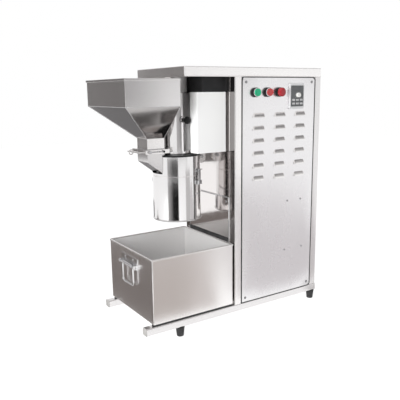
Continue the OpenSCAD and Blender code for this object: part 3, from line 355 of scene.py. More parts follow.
def eased(piece, edge_mm, steps=3):
    """Rounds a piece's sharp edges, so that they catch the light as folded or filed metal does."""
    bevel = piece.modifiers.new("eased", "BEVEL")
    bevel.width = edge_mm * MM
    bevel.segments = steps
    bevel.limit_method = "ANGLE"
    bevel.angle_limit = EASED_FROM
    bevel.use_clamp_overlap = False
    return flatten(piece)


# %% [markdown]
# A CAD solid arrives as loose triangles with razor edges. For pieces whose shape is right, a copy
# is merged into whole flat faces and its edges are eased. That keeps the drawing's shape and gives
# each fold the thin bright line that sheet metal has. The import's stored normals belong to the
# loose triangles, so they are dropped, and flat faces stay flat.

# %% Eased copies of the solids
WELD_MM = 0.005


def eased_copy(node, edge_mm, finish):
    work = bmesh.new()
    work.from_mesh(frame["nodes"][node].data)
    bmesh.ops.remove_doubles(work, verts=work.verts, dist=WELD_MM * MM)
    bmesh.ops.dissolve_limit(work, angle_limit=math.radians(0.5), verts=work.verts, edges=work.edges)
    piece = from_bmesh(node + "_piece", work)
    piece.data.attributes.remove(piece.data.attributes["custom_normal"])
    return settle(eased(piece, edge_mm), finish, node)


# The top cover takes the brighter satin copy (painted light), the chute the duller one (painted shade).
SHEET_PIECES = (
    ("top_cover", 2.5, satin_painted_light), ("side_panel", 0.5, satin_upright), ("rear_panel", 1.0, satin_upright),
    ("bay_cover", 0.8, mirror_sheet), ("bracket_box", 0.8, white_enamel), ("yoke", 2.0, black_enamel),
    ("hopper_bracket", 0.8, satin_level), ("gate_frame", 0.8, satin_level),
    ("gate_plate", 0.5, satin_level), ("gate_lever", 0.4, plated_steel), ("chute", 0.8, satin_painted_shade),
    ("chamber_arm", 0.8, satin_level), ("latch_mounts", 0.5, plated_steel),
    ("latch_left", 0.4, plated_steel), ("latch_right", 0.4, plated_steel), ("handle_plate", 0.7, chrome),
    ("control_frame", 1.5, frame_light), ("control_face", 0.6, face_dark), ("arm_bolt", 0.6, plated_steel),
    ("rail_caps", 0.8, cap_grey), ("bin_runners", 1.0, runner_nylon),
)
KEYS = [f"key_{i}" for i in range(1, 7)]
for node, edge, finish in SHEET_PIECES:
    eased_copy(node, edge, finish)
for node in KEYS:
    eased_copy(node, 0.6, key_grey)
print("eased copies", len(SHEET_PIECES) + len(KEYS))

# %% [markdown]
# The hopper is welded from three kinds of sheet: a satin box above, a polished funnel that mirrors
# the bay under it, and a satin duct. The box takes the duller satin copy, and the funnel a dark tint
# that stands in for the dark bay it mirrors; both are painted shade. They are told apart by the
# height of each face.

# %% Hopper's three sheets
FUNNEL_TOP, DUCT_TOP = 897.0, 772.0
hopper = eased_copy("hopper", 0.8, satin_painted_shade)
for sheet_finish in (bright_funnel, satin_level):
    hopper.data.materials.append(sheet_finish)
# Index 0 is the duller satin copy and index 1 the dark funnel tint, both painted shade.
for face in hopper.data.polygons:
    height = face.center.z / MM
    face.material_index = 0 if height > FUNNEL_TOP else 1 if height > DUCT_TOP else 2
print("hopper faces", len(hopper.data.polygons))

# %% [markdown]
# The posts are folded from satin sheet too, but the flats that face the bay are polished like its
# wall. Their dark tint stands in for the bay that the wall mirrors behind them: painted shade. The
# right pair takes the duller satin copy, also painted shade.

# %% Posts
posts = eased_copy("posts", 0.8, satin_upright)
for post_finish in (polished_flat, satin_painted_shade):
    posts.data.materials.append(post_finish)
TOWARDS_BAY = -0.9
panel_middle = drawn("front_panel")[2].x * MM + corner.x
# Index 1 is the dark painted shade on the bay-facing flats, index 2 the duller copy on the right pair.
for face in posts.data.polygons:
    face.material_index = 2 if face.center.x > panel_middle else int(face.normal.x < TOWARDS_BAY)
print("post faces", len(posts.data.polygons))

# %% [markdown]
# ## Turned pieces
# Tubes, buttons, feet and knobs are round, so each is one outline turned about an axis. The corners
# of an outline are rounded first: a point is (radius, height) or (radius, height, corner radius).
# Turning the outline in mesh code leaves a clean closed skin with as many facets as the size needs.

# %% Turning helpers
OUT_FRONT = Matrix.Rotation(math.pi / 2, 4, "X")
UPRIGHT_AXIS = Matrix.Identity(4)


def rounded(points, steps=4, hold=0.0):
    """An outline in millimetres with its marked corners turned into arcs.

    hold adds a point that far before and after each arc, so that a long flat side shades flat."""
    result = []
    for i, point in enumerate(points):
        here = Vector(point[:2])
        if len(point) == 2:
            result.append(here)
            continue
        before = (Vector(points[i - 1][:2]) - here).normalized()
        after = (Vector(points[(i + 1) % len(points)][:2]) - here).normalized()
        half = before.angle(after) / 2
        centre = here + (before + after).normalized() * point[2] / math.sin(half)
        first = here + before * point[2] / math.tan(half) - centre
        last = here + after * point[2] / math.tan(half) - centre
        start = math.atan2(first.y, first.x)
        sweep = (math.atan2(last.y, last.x) - start + math.pi) % (2 * math.pi) - math.pi
        arc = [start + sweep * k / steps for k in range(steps + 1)]
        bend = [centre + point[2] * Vector((math.cos(a), math.sin(a))) for a in arc]
        result += [bend[0] + before * hold] + bend + [bend[-1] + after * hold] if hold else bend
    return result


def bulge(radius, height, low, high, centre=(0.0, 0.0), steps=10):
    """Points of an arc, from one angle to another in degrees, for domes and beads."""
    angles = [math.radians(low + (high - low) * k / steps) for k in range(steps + 1)]
    return [(centre[0] + radius * math.cos(a), centre[1] + height * math.sin(a)) for a in angles]


def stitch(work, rings, closed=False):
    """Joins rings of points with faces; a ring of one point is a pole."""
    rows = [[work.verts.new(p) for p in ring] for ring in rings]
    pairs = list(zip(rows, rows[1:])) + ([(rows[-1], rows[0])] if closed else [])
    faces = []
    for low, high in pairs:
        count = max(len(low), len(high))
        for k in range(count):
            corners = [low[k % len(low)], low[(k + 1) % len(low)],
                       high[(k + 1) % len(high)], high[k % len(high)]]
            corners = [v for n, v in enumerate(corners) if v not in corners[:n]]
            if len(corners) > 2:
                faces.append(work.faces.new(corners))
    return rows, faces


def ring_of(radius, height, facets):
    """A circle of points about the Z axis, in metres; a radius of nothing gives one point."""
    count = facets if radius > WELD_MM else 1
    angles = [2 * math.pi * k / facets for k in range(count)]
    return [Vector((radius * math.cos(a), radius * math.sin(a), height)) * MM for a in angles]


def turn(work, outline, place, axis=UPRIGHT_AXIS, facets=64, closed=False):
    """Turns an outline about an axis that stands at a place on the drawing."""
    rings = [[spot(*place) + axis @ p for p in ring_of(r, h, facets)] for r, h in outline]
    return stitch(work, rings, closed)


def turned(name, outline, places, finish, *nodes, **how):
    work = bmesh.new()
    for place in places:
        turn(work, outline, place, **how)
    return settle(from_bmesh(name, work), finish, *nodes)


print("turning helpers ready")

# %% [markdown]
# The push buttons are the common 22 mm kind: a barrel with a lock nut behind the panel, a black
# collar in front, a bright ring, and a cap with a shallow dish for the finger. The lamp has the same
# collar with a domed lens. Heights are counted from the panel towards the hand.

# %% Buttons and lamp
green_x, red_x, lamp_x = (drawn(node)[2].x for node in ("start_cap", "stop_cap", "lamp_lens"))
button_z = drawn("start_cap")[2].z
collar = rounded([(0, -24), (11, -24, 0.6), (11, -7.5), (16, -7.5, 0.6), (16, -1.7, 0.6), (11, -1.7),
                  (11, 0), (19, 0), (19, 9.8, 1.0), (17.8, 12, 0.8), (15.4, 12, 0.4), (15.4, 6), (0, 6)])
turned("collars", collar, [(x, 0, button_z) for x in (green_x, red_x, lamp_x)], collar_black,
       "button_collars", axis=OUT_FRONT)
bezel = rounded([(15.4, 12), (16.8, 12, 0.4), (17.5, 13.2, 0.6), (17.5, 14.6, 0.7), (16.6, 16, 0.5),
                 (15.4, 16, 0.3)])
turned("bezels", bezel, [(x, 0, button_z) for x in (green_x, red_x)], chrome, "button_rings",
       axis=OUT_FRONT, closed=True)
cap = rounded([(0, 19.1), (11, 19.2, 0.8), (12.4, 20, 0.5), (15, 20, 1.0), (15, 11, 0.4), (5, 11), (5, -15),
               (0, -15)])
turned("green_cap", cap, [(green_x, 0, button_z)], cap_green, "start_cap", axis=OUT_FRONT)
turned("red_cap", cap, [(red_x, 0, button_z)], cap_red, "stop_cap", axis=OUT_FRONT)
dome = bulge(18, 6, 90, 0, centre=(0, 20)) + [(18, 12), (15, 12), (15, 6), (0, 6)]
turned("lamp_dome", dome, [(lamp_x, 0, button_z)], lamp_red, "lamp_lens", axis=OUT_FRONT)
print("buttons at", [round(x, 1) for x in (green_x, red_x, lamp_x)])

# %% [markdown]
# The grinding line stands on one upright axis: a black lid, the polished ring under it, the
# discharge tube with a rolled bead, and above the lid the spindle's tube with a narrower neck.
# A ball knob on a boss clamps the spindle, whose neck is left as it came from the mill. The white
# box beside it is closed by a curved sheet that keeps clear of the tube. Big tubes get more facets,
# so that their bands of reflection run straight and smooth.

# %% Discharge tube and lid
low, high, middle = drawn("discharge_tube")
axis_x, axis_y = middle.x, middle.y
LINE = (axis_x, axis_y, 0)
BORE, WALL, BEAD, FINE = 95, 98, 3, 128
LIP_Z, SPLIT_Z, RING_Z, LID_Z, LID_TOP = 437, 617, 620, 697, 703
bead = bulge(BEAD, BEAD, 90, -90, centre=(WALL, LIP_Z + BEAD), steps=20)
tube = rounded([(BORE, LIP_Z), (BORE, SPLIT_Z), (WALL, SPLIT_Z, 0.6)]) + [(WALL, LIP_Z + 3 * BEAD)] + bead
turned("discharge", tube, [LINE], polished_tube, "discharge_tube", facets=FINE, closed=True)
lid = rounded([(20, LID_Z), (WALL, LID_Z, 0.5), (WALL, LID_TOP, 1.2), (20, LID_TOP)])
turned("lid", lid, [LINE], black_enamel, "chamber_lid", facets=FINE, closed=True)
print("axis at", round(axis_x, 1), round(axis_y, 1))

# %% Spindle's tube and ball knob
low, high, middle = drawn("spindle_housing")
TUBE = (high.x - low.x) / 2
NECK = TUBE - 10
INNER, NECK_Z, DECK_Z = 31, 946, 1003
sleeve = rounded([(INNER, LID_TOP), (TUBE, LID_TOP, 0.8), (TUBE, NECK_Z, 1.5), (NECK, NECK_Z, 1.0),
                  (NECK, DECK_Z), (INNER, DECK_Z)])
ball_z = drawn("clamp_knob")[2].z
boss = rounded([(5.2, TUBE - 7), (12, TUBE - 7), (12, TUBE + 8, 1.0), (5.2, TUBE + 8, 0.4)])
work = bmesh.new()
turn(work, sleeve, LINE, facets=96, closed=True)
turn(work, boss, (axis_x, axis_y, ball_z), OUT_FRONT, facets=48, closed=True)
spindle = settle(from_bmesh("spindle_sleeve", work), polished_tube, "spindle_housing")
spindle.data.materials.append(mill_steel)
for face in spindle.data.polygons:
    face.material_index = int(face.center.z / MM > NECK_Z + 1)
stud = [(0, -6), (5, -6), (5, 8.4), (8, 8.4), (8, 16)]
stud += bulge(14.5, 14.5, -55, 90, centre=(0, 29.5), steps=16)
turned("clamp_ball", [(r, TUBE + h) for r, h in stud], [(axis_x, axis_y, ball_z)], ball_black, "clamp_knob",
       axis=OUT_FRONT)
print("tube", round(TUBE, 1), "neck", round(NECK, 1))

# %% White box's liner
LINER, CLEAR, BENDS = 1.5, 28, 24
low, high, middle = drawn("bracket_box")
opening = TUBE + CLEAR
reach = math.acos((low.x - axis_x) / opening)
section = [(0, low.z + LINER), (0, high.z - LINER), (LINER, high.z - LINER), (LINER, low.z + LINER)]
bends = []
for k in range(BENDS + 1):
    a = reach * (2 * k / BENDS - 1)
    bends.append([spot(axis_x + (opening + r) * math.cos(a), axis_y + (opening + r) * math.sin(a), z)
                  for r, z in section])
work = bmesh.new()
rows, faces = stitch(work, bends)
work.faces.new(rows[0])
work.faces.new(rows[-1])
settle(from_bmesh("box_liner", work), white_enamel, body="machine", slot="white_paint")
print("liner bends", BENDS)

# %% Chamber ring and its window
WINDOW_X, WINDOW_Y, WINDOW_Z = (-105, -78), (-41, 41), (629, 693)
ring = rounded([(BORE, RING_Z), (WALL, RING_Z, 0.5), (WALL, LID_Z, 0.5), (BORE, LID_Z)])
work = bmesh.new()
turn(work, ring, LINE, facets=FINE, closed=True)
chamber = from_bmesh("ring_wall", work)
window = bpy.data.meshes.new("window")
window.from_pydata([spot(axis_x + x, axis_y + y, z) for x in WINDOW_X for y in WINDOW_Y for z in WINDOW_Z],
                   [], [(0, 1, 3, 2), (4, 6, 7, 5), (0, 4, 5, 1), (2, 3, 7, 6), (0, 2, 6, 4), (1, 5, 7, 3)])
cutter = made("window_cutter", window)
cut = chamber.modifiers.new("window", "BOOLEAN")
cut.object = cutter
flatten(chamber)
bpy.data.objects.remove(cutter)
settle(chamber, polished_tube, "chamber_ring")
print("ring faces", len(chamber.data.polygons))

# %% [markdown]
# Four tapered rubber feet carry the machine. A moulded step under the top and a hollow in the sole
# are what such feet have.

# %% Feet
FOOT = 18
foot = rounded([(0, 8), (7, 8), (7, 0, 0.5), (12.8, 0, 1.0), (14, 1.6, 1.0), (17.4, 33, 0.6),
                (FOOT, 33.6, 0.5), (FOOT, 40, 0.8), (0, 40)])
low, high, middle = drawn("feet")
feet = [(x, y, 0) for x in (low.x + FOOT, high.x - FOOT) for y in (low.y + FOOT, high.y - FOOT)]
turned("rubber_feet", foot, feet, foot_rubber, "feet", facets=48)
print("feet", len(feet))

# %% [markdown]
# ## Folded bin
# The bin is a tub of thin sheet with small corner radii. Its outline is a rounded rectangle that is
# drawn again at each height and inset, and the rings are stitched into one closed skin. The inside
# keeps the mill's dull finish, so it has a second material.

# %% Bin
LEAST_CORNER, HOLD = 0.4, 0.8


def box_path(x0, y0, x1, y1):
    """The corners of a rectangle, in order."""
    return [(x0, y0), (x1, y0), (x1, y1), (x0, y1)]


def corner_ring(low, high, inset, z, radius):
    """A rounded rectangle at a height, drawn inside a box by an inset."""
    c = max(radius - inset, LEAST_CORNER)
    path = box_path(low.x + inset, low.y + inset, high.x - inset, high.y - inset)
    return [spot(p.x, p.y, z) for p in rounded([(x, y, c) for x, y in path], 5, HOLD)]


BIN_CORNER, BIN_WALL, BIN_RIM = 5.0, 2.0, 3.5
low, high, middle = drawn("bin")
low, high = low + Vector((BIN_RIM, BIN_RIM, 0)), high - Vector((BIN_RIM, BIN_RIM, BIN_RIM))
heel = [(3.0, low.z), (1.2, low.z + 0.4), (0.4, low.z + 1.2), (0.0, low.z + 3.0)]
skin = heel + [(0.0, high.z), (BIN_WALL, high.z), (BIN_WALL, low.z + 5), (BIN_WALL + 3, low.z + BIN_WALL)]
work = bmesh.new()
rows, faces = stitch(work, [corner_ring(low, high, inset, z, BIN_CORNER) for inset, z in skin])
per_row = len(rows[0])
for face in faces[(len(heel) + 1) * per_row:]:
    face.material_index = 1
work.faces.new(rows[0])
work.faces.new(rows[-1]).material_index = 1
tub = from_bmesh("bin_tub", work)
settle(tub, satin_level, "bin")
tub.data.materials.append(mill_steel)
print("bin", [round(v, 1) for v in high - low])

# %% [markdown]
# A strip of black rubber on the bay's cover, just above the bin's rim, is a dark bar put where the
# gap between bin and wall falls into shade: painted shadow. It is a flat bar with eased edges.

# %% Painted shadow strip
STRIP_THICK, STRIP_TALL, STRIP_SHORT, OVER_RIM = 2.5, 20.0, 4, 5.0
low, high, middle = drawn("bay_cover")
strip = Vector((STRIP_THICK, high.y - low.y - STRIP_SHORT, STRIP_TALL))
place = spot(low.x - strip.x / 2, middle.y, drawn("bin")[1].z + OVER_RIM)
work = bmesh.new()
bmesh.ops.create_cube(work, size=1.0,
                      matrix=Matrix.Translation(place) @ Matrix.Diagonal((*(strip * MM), 1)))
# A black bar as painted shadow in the gap between the bin and the wall.
settle(eased(from_bmesh("bumper_strip", work), 0.8), foot_rubber, body="machine", slot="rubber")
print("shadow_strip", [round(v, 1) for v in strip])

# %% [markdown]
# ## What repeats
# Screws, rivets, louvres and dial marks are each modelled once, and a node tree sets the copies.
# Each tree has named inputs. `grown` sets them by the sockets' identifiers, evaluates the tree once
# and keeps plain mesh, so the export finds no live instances.

# %% Node tree helpers
def new_tree(name, **kinds):
    tree = bpy.data.node_groups.new(name, "GeometryNodeTree")
    tree.interface.new_socket("Geometry", in_out="INPUT", socket_type="NodeSocketGeometry")
    for label, kind in kinds.items():
        tree.interface.new_socket(label.replace("_", " "), in_out="INPUT", socket_type="NodeSocket" + kind)
    tree.interface.new_socket("Geometry", in_out="OUTPUT", socket_type="NodeSocketGeometry")
    return tree, tree.nodes.new("NodeGroupInput").outputs


def stored(tree, label, kind):
    return add(tree, "GeometryNodeInputNamedAttribute", ("data_type", kind), Name=label)


def copies_on(tree, points, model, **turned_by):
    """Copies of an object, one on each point."""
    shape = add(tree, "GeometryNodeObjectInfo", give="Geometry", Object=model)
    return add(tree, "GeometryNodeInstanceOnPoints", Points=points, Instance=shape, **turned_by)


def close_tree(tree, geometry, finish):
    real = add(tree, "GeometryNodeRealizeInstances", Geometry=geometry)
    painted = add(tree, "GeometryNodeSetMaterial", Geometry=real, Material=finish)
    tree.links.new(painted, tree.nodes.new("NodeGroupOutput").inputs[0])


def grown(name, tree, mesh, shade=SHARP, **values):
    """Runs a tree on a mesh of points or paths and keeps the result as plain mesh."""
    piece = made(name, mesh)
    growth = piece.modifiers.new(tree.name, "NODES")
    growth.node_group = tree
    for item in tree.interface.items_tree:
        label = item.name.replace(" ", "_")
        if item.in_out == "INPUT" and label in values:
            growth[item.identifier] = values[label]
    return flatten(piece, shade)


def dots(name, places, edges=(), **attributes):
    """Points on the drawing, with named values that a tree can read."""
    mesh = bpy.data.meshes.new(name)
    mesh.from_pydata([spot(*p) for p in places], edges, [])
    for label, values in attributes.items():
        kind, field = ("FLOAT", "value") if isinstance(values[0], float) else ("FLOAT_VECTOR", "vector")
        layer = mesh.attributes.new(label, kind, "POINT")
        flat = values if kind == "FLOAT" else [c for v in values for c in v]
        layer.data.foreach_set(field, flat)
    return mesh


print("node helpers ready")

# %% [markdown]
# ### Screws and rivets
# A screw head is a low dome with a cross cut into it. The tree reads from each point which way the
# head faces and how far it was turned when it was driven home, because no two crosses line up.

# %% Fastener tree and heads
fastener_tree, given = new_tree("fasteners", Head="Object", Finish="Material")
aim = add(fastener_tree, "FunctionNodeAlignRotationToVector", ("axis", "Z"),
          Vector=stored(fastener_tree, "facing", "FLOAT_VECTOR"))
spin = add(fastener_tree, "FunctionNodeAxisAngleToRotation", Axis=(0, 0, 1),
           Angle=stored(fastener_tree, "turn", "FLOAT"))
pose = add(fastener_tree, "FunctionNodeRotateRotation", ("rotation_space", "LOCAL"), Rotation=aim,
           Rotate_By=spin)
heads = copies_on(fastener_tree, given["Geometry"], given["Head"], Rotation=pose)
close_tree(fastener_tree, heads, given["Finish"])
HEAD_FACETS, DRIVER_TALL, NEXT_TURN = 24, 4, 0.9


def head_of(name, outline):
    """A fastener's head on the origin, pointing up."""
    work = bmesh.new()
    stitch(work, [ring_of(radius, height, HEAD_FACETS) for radius, height in outline])
    return from_bmesh(name, work)


def cross_cut(head, arm, width, depth_from):
    """Cuts a driver's cross into a head."""
    work = bmesh.new()
    for turn_by in (0, math.pi / 2):
        size = Matrix.Diagonal((2 * arm * MM, width * MM, DRIVER_TALL * MM, 1))
        place = Matrix.Translation((0, 0, (depth_from + DRIVER_TALL / 2) * MM))
        bmesh.ops.create_cube(work, size=1.0, matrix=Matrix.Rotation(turn_by, 4, "Z") @ place @ size)
    driver = from_bmesh("driver", work)
    cut = head.modifiers.new("cross", "BOOLEAN")
    cut.object = driver
    cut.use_self = True
    flatten(head)
    bpy.data.objects.remove(driver)
    return head


def fasten(name, head, places, facing, finish, *nodes, **more):
    turns = [NEXT_TURN * i % math.pi for i in range(len(places))]
    points = dots(name, places, facing=[facing] * len(places), turn=turns)
    piece = grown(name, fastener_tree, points, ROUND, Head=head, Finish=finish)
    return settle(piece, finish, *nodes, **more)


def low_dome(radius, height):
    return [(0, -0.5), (radius, -0.5)] + bulge(radius, height, 0, 90, steps=6)


pan_head = cross_cut(head_of("pan_head", low_dome(4.5, 3.0)), 2.6, 1.1, 1.4)
rivet_head = head_of("rivet_head", low_dome(4.2, 2.0))
washer = head_of("washer", [(0, -0.3), (5.7, -0.3), (5.7, 0.4), (5.4, 0.7), (0, 0.7)])
print("heads", len(pan_head.data.polygons), len(rivet_head.data.polygons), "faces")

# %% [markdown]
# The panels are screwed to tabs behind the posts, so their screws sit a thumb's width in from each
# corner. Two pairs in the middle of the front panel hold a bracket inside. The bin's handle plate is
# riveted, because its inside has to stay smooth.

# %% Screws and rivets in place
INSET = 18
PAIR_IN, PAIRS = 106, ((38.5, 410), (50.5, 193))
RIVET_IN, RIVET_DOWN, RIVET_OFF = 3, 10, 34


def set_in(first, last):
    return first + INSET, last - INSET


low, high, middle = drawn("front_panel")
corners = [(x, 0, z) for x in set_in(low.x, high.x) for z in set_in(low.z, high.z)]
pair_x = high.x - PAIR_IN
pairs = [(pair_x + s * half, 0, low.z + rise) for half, rise in PAIRS for s in (-1, 1)]
fasten("front_screws", pan_head, corners + pairs, (0, -1, 0), screw_steel, "panel_screws")
fasten("front_washers", washer, corners, (0, -1, 0), foot_rubber, body="machine", slot="rubber")
back_y = drawn("rear_panel")[1].y
backs = [(x, back_y, z) for x, y, z in corners]
low, high, middle = drawn("side_panel")
sides = [(0, y, z) for y in set_in(low.y, high.y) for z in set_in(low.z, high.z)]
low, high, middle = drawn("bay_cover")
bay = [(low.x, y, z) for y in set_in(low.y, high.y) for z in set_in(low.z, high.z)]
for name, places, facing in (("back_screws", backs, (0, 1, 0)), ("side_screws", sides, (1, 0, 0)),
                             ("bay_screws", bay, (-1, 0, 0))):
    fasten(name, pan_head, places, facing, screw_steel, body="machine", slot="screw")
low, high, middle = drawn("handle_plate")
rivets = [(high.x - RIVET_IN, middle.y + y, high.z - RIVET_DOWN) for y in (-RIVET_OFF, RIVET_OFF)]
fasten("handle_rivets", rivet_head, rivets, (-1, 0, 0), chrome, body="bin", slot="screw")
print("screws", len(corners + pairs + backs + sides + bay), "rivets", len(rivets))

# %% [markdown]
# ### Louvred front panel
# The panel is one sheet folded back on all sides, and its louvres are slit and pressed out of the
# same sheet: a hood that swells out of the plane and ends in an open lip below. The flat sheet is a
# grid of faces that leaves out the slots. One hood is modelled, and a tree repeats it in columns
# and rows.

# %% Panel sheet
def sheeted(piece, thickness, shade=SHARP):
    """Turns a skin's faces to the front and gives it a sheet's thickness behind them."""
    if sum(p.normal.y for p in piece.data.polygons) > 0:
        piece.data.flip_normals()
    wall = piece.modifiers.new("sheet", "SOLIDIFY")
    wall.thickness = thickness * MM
    wall.offset = -1.0
    return flatten(piece, shade)


low, high, middle = drawn("front_panel")
PANEL_SHEET, RETURN, FOLD = 1.5, 12.0, 1.6
HOOD_LEN, HOOD_RISE, HOOD_OUT, HOOD_DROP = 60.0, 18.5, 7.0, 157.0
COLUMNS, ROWS, ACROSS, DOWN = 3, 6, 112.0, 51.2
SLOT_IN, SLOT_LIP, SLOT_TOP = 4, 0.5, 6
columns = [middle.x + (i - (COLUMNS - 1) / 2) * ACROSS for i in range(COLUMNS)]
mouths = [high.z - HOOD_DROP - j * DOWN for j in range(ROWS)]
slot_x = [(x - HOOD_LEN / 2 + SLOT_IN, x + HOOD_LEN / 2 - SLOT_IN) for x in columns]
slot_z = [(z + SLOT_LIP, z + HOOD_RISE - SLOT_TOP) for z in sorted(mouths)]
xs = [low.x] + [x for pair in slot_x for x in pair] + [high.x]
zs = [low.z] + [z for pair in slot_z for z in pair] + [high.z]
work = bmesh.new()
net = [[work.verts.new(spot(x, 0, z)) for z in zs] for x in xs]
for i in range(len(xs) - 1):
    for j in range(len(zs) - 1):
        if i % 2 and j % 2:
            continue
        work.faces.new((net[i][j], net[i + 1][j], net[i + 1][j + 1], net[i][j + 1]))
sides_x, sides_z = (net[0][0].co.x, net[-1][0].co.x), (net[0][0].co.z, net[0][-1].co.z)
rim = [e for e in work.edges if e.is_boundary
       and all(v.co.x in sides_x or v.co.z in sides_z for v in e.verts)]
folded = bmesh.ops.extrude_edge_only(work, edges=rim)["geom"]
for v in (g for g in folded if isinstance(g, bmesh.types.BMVert)):
    v.co.y += RETURN * MM
bmesh.ops.bevel(work, geom=rim, offset=FOLD * MM, segments=3, profile=0.5, affect="EDGES")
sheet = sheeted(from_bmesh("panel_sheet", work), PANEL_SHEET)
settle(sheet, satin_panel, "front_panel")
print("panel faces", len(sheet.data.polygons), "slots", COLUMNS * ROWS)

# %% Hood
HOOD_SHADE = math.radians(50)
HOOD_CORNER, HOOD_END, HOOD_SHEET, SWELL, STEPS = 9.0, 5.0, 1.2, 1.45, 8
half = HOOD_LEN / 2
ends = [half - HOOD_CORNER * (1 - math.sin(math.radians(a))) for a in (0, 15, 30, 42, 54, 64, 73, 80, 86, 90)]
stations = [-x for x in reversed(ends)] + [0.0] + ends
work = bmesh.new()
net = []
for x in stations:
    past = max(abs(x) - half + HOOD_CORNER, 0.0)
    top = HOOD_RISE - HOOD_CORNER + math.sqrt(max(HOOD_CORNER ** 2 - past ** 2, 0.0))
    fall = max(abs(x) - half + HOOD_END, 0.0) / HOOD_END
    reach = HOOD_OUT * math.sqrt(max(1 - fall ** 2, 0.0))
    net.append([work.verts.new(Vector((x, -reach * (1 - (k / STEPS) ** SWELL), top * k / STEPS)) * MM)
                for k in range(STEPS + 1)])
for left, right_row in zip(net, net[1:]):
    for k in range(STEPS):
        work.faces.new((left[k], right_row[k], right_row[k + 1], left[k + 1]))
hood = sheeted(from_bmesh("hood", work, HOOD_SHADE), HOOD_SHEET, HOOD_SHADE)
print("hood faces", len(hood.data.polygons))

# %% Louvre tree
louvre_tree, given = new_tree("louvre_field", Hood="Object", Columns="Int", Rows="Int", Across="Float",
                              Down="Float", Centre="Vector", Finish="Material")


def span(count, pitch):
    gaps = reckon(louvre_tree, "SUBTRACT", given[count], 1.0)
    return reckon(louvre_tree, "MULTIPLY", gaps, given[pitch])


field = add(louvre_tree, "GeometryNodeMeshGrid", Size_X=span("Columns", "Across"),
            Size_Y=span("Rows", "Down"), Vertices_X=given["Columns"], Vertices_Y=given["Rows"])
stood = add(louvre_tree, "GeometryNodeTransform", Geometry=field, Translation=given["Centre"],
            Rotation=(math.pi / 2, 0, 0))
close_tree(louvre_tree, copies_on(louvre_tree, stood, given["Hood"]), given["Finish"])

field_middle = spot(middle.x, 0, sum(mouths) / ROWS)
hoods = grown("louvre_hoods", louvre_tree, bpy.data.meshes.new("louvre_hoods"), HOOD_SHADE, Hood=hood,
              Columns=COLUMNS, Rows=ROWS, Across=ACROSS * MM, Down=DOWN * MM, Centre=field_middle,
              Finish=hood_steel)
settle(hoods, hood_steel, body="machine", slot="steel")
print("hoods", COLUMNS * ROWS, "with", len(hoods.data.polygons), "faces")

# %% [markdown]
# ### Beads that follow a path
# The bin's rim is rolled round a wire. A black bead lies in the groove round the front panel as
# painted shadow, where the groove falls into shade. A bright wire trims the bay's cover, ground
# seams run along the funnel's edges, and a weld closes the joint under the duct. All of them are a
# small round section that follows a path, so one tree makes them. Its ripple gives a weld its row
# of small scales.

# %% Bead tree
bead_tree, given = new_tree("bead_on_path", Radius="Float", Sides="Int", Step="Float", Ripple="Float",
                            Finish="Material")
SCALE_ANGLE = 1.6
path = add(bead_tree, "GeometryNodeMeshToCurve", Mesh=given["Geometry"])
even = add(bead_tree, "GeometryNodeResampleCurve", ("mode", "LENGTH"), Curve=path, Length=given["Step"])
section = add(bead_tree, "GeometryNodeCurvePrimitiveCircle", Resolution=given["Sides"],
              Radius=given["Radius"])
index = add(bead_tree, "GeometryNodeInputIndex")
phase = reckon(bead_tree, "SINE", reckon(bead_tree, "MULTIPLY", index, SCALE_ANGLE))
wave = reckon(bead_tree, "MULTIPLY", phase, given["Ripple"])
swept = add(bead_tree, "GeometryNodeCurveToMesh", Curve=even, Profile_Curve=section,
            Scale=reckon(bead_tree, "ADD", wave, 1.0), Fill_Caps=True)
smooth = add(bead_tree, "GeometryNodeSetShadeSmooth", Geometry=swept)
close_tree(bead_tree, smooth, given["Finish"])


def bead_along(name, places, radius, finish, step=2.5, ripple=0.0, sides=10, spokes=(), **more):
    """A bead round a closed path, and along spokes between pairs of places."""
    count = len(places) - len(spokes)
    edges = [(k, (k + 1) % count) for k in range(count)] + list(spokes)
    piece = grown(name, bead_tree, dots(name, places, edges), ROUND, Radius=radius * MM, Sides=sides,
                  Step=step * MM, Ripple=ripple, Finish=finish)
    return settle(piece, finish, **more)


print("bead tree with", len(bead_tree.nodes), "nodes")

# %% Beads in place
SHADOW_BEAD, GROOVE, SHADOW_BEAD_Y = 2.3, 1.25, 0.6
TRIM, TRIM_IN, SEAM, WELD, FLANGE = 3.0, 1.2, 1.3, 1.8, 15
low, high, middle = drawn("bin")
wire = box_path(low.x + BIN_RIM, low.y + BIN_RIM, high.x - BIN_RIM, high.y - BIN_RIM)
plan = rounded([(x, y, BIN_CORNER) for x, y in wire], 6)
bead_along("bin_rim", [(p.x, p.y, high.z - BIN_RIM) for p in plan], BIN_RIM, satin_level, sides=16,
           body="bin", slot="steel")

low, high, middle = drawn("front_panel")
# A black bead round the panel's groove: painted shadow.
groove = box_path(low.x - GROOVE, low.z - GROOVE, high.x + GROOVE, high.z + GROOVE)
bead_along("panel_edging", [(x, SHADOW_BEAD_Y, z) for x, z in groove], SHADOW_BEAD, foot_rubber, step=20.0,
           body="machine", slot="rubber")

low, high, middle = drawn("bay_cover")
trim = [(low.x + TRIM_IN, y, z) for y, z in box_path(low.y, low.z, high.y, high.z)]
bead_along("bay_trim", trim, TRIM, chrome, step=30.0, body="machine", slot="steel")


def plan_at(piece, height, within=1.5):
    """The four corners of a piece's outline at a height, anticlockwise."""
    marks = [(v.co - corner) / MM for v in piece.data.vertices if abs(v.co.z / MM - height) < within]
    xs, ys = [m.x for m in marks], [m.y for m in marks]
    return [(x, y, height) for x, y in box_path(min(xs), min(ys), max(xs), max(ys))]


seams = plan_at(hopper, FUNNEL_TOP) + plan_at(hopper, DUCT_TOP)
bead_along("hopper_seams", seams, SEAM, chrome, step=6.0, spokes=[(k, k + 4) for k in range(4)],
           body="machine", slot="steel")

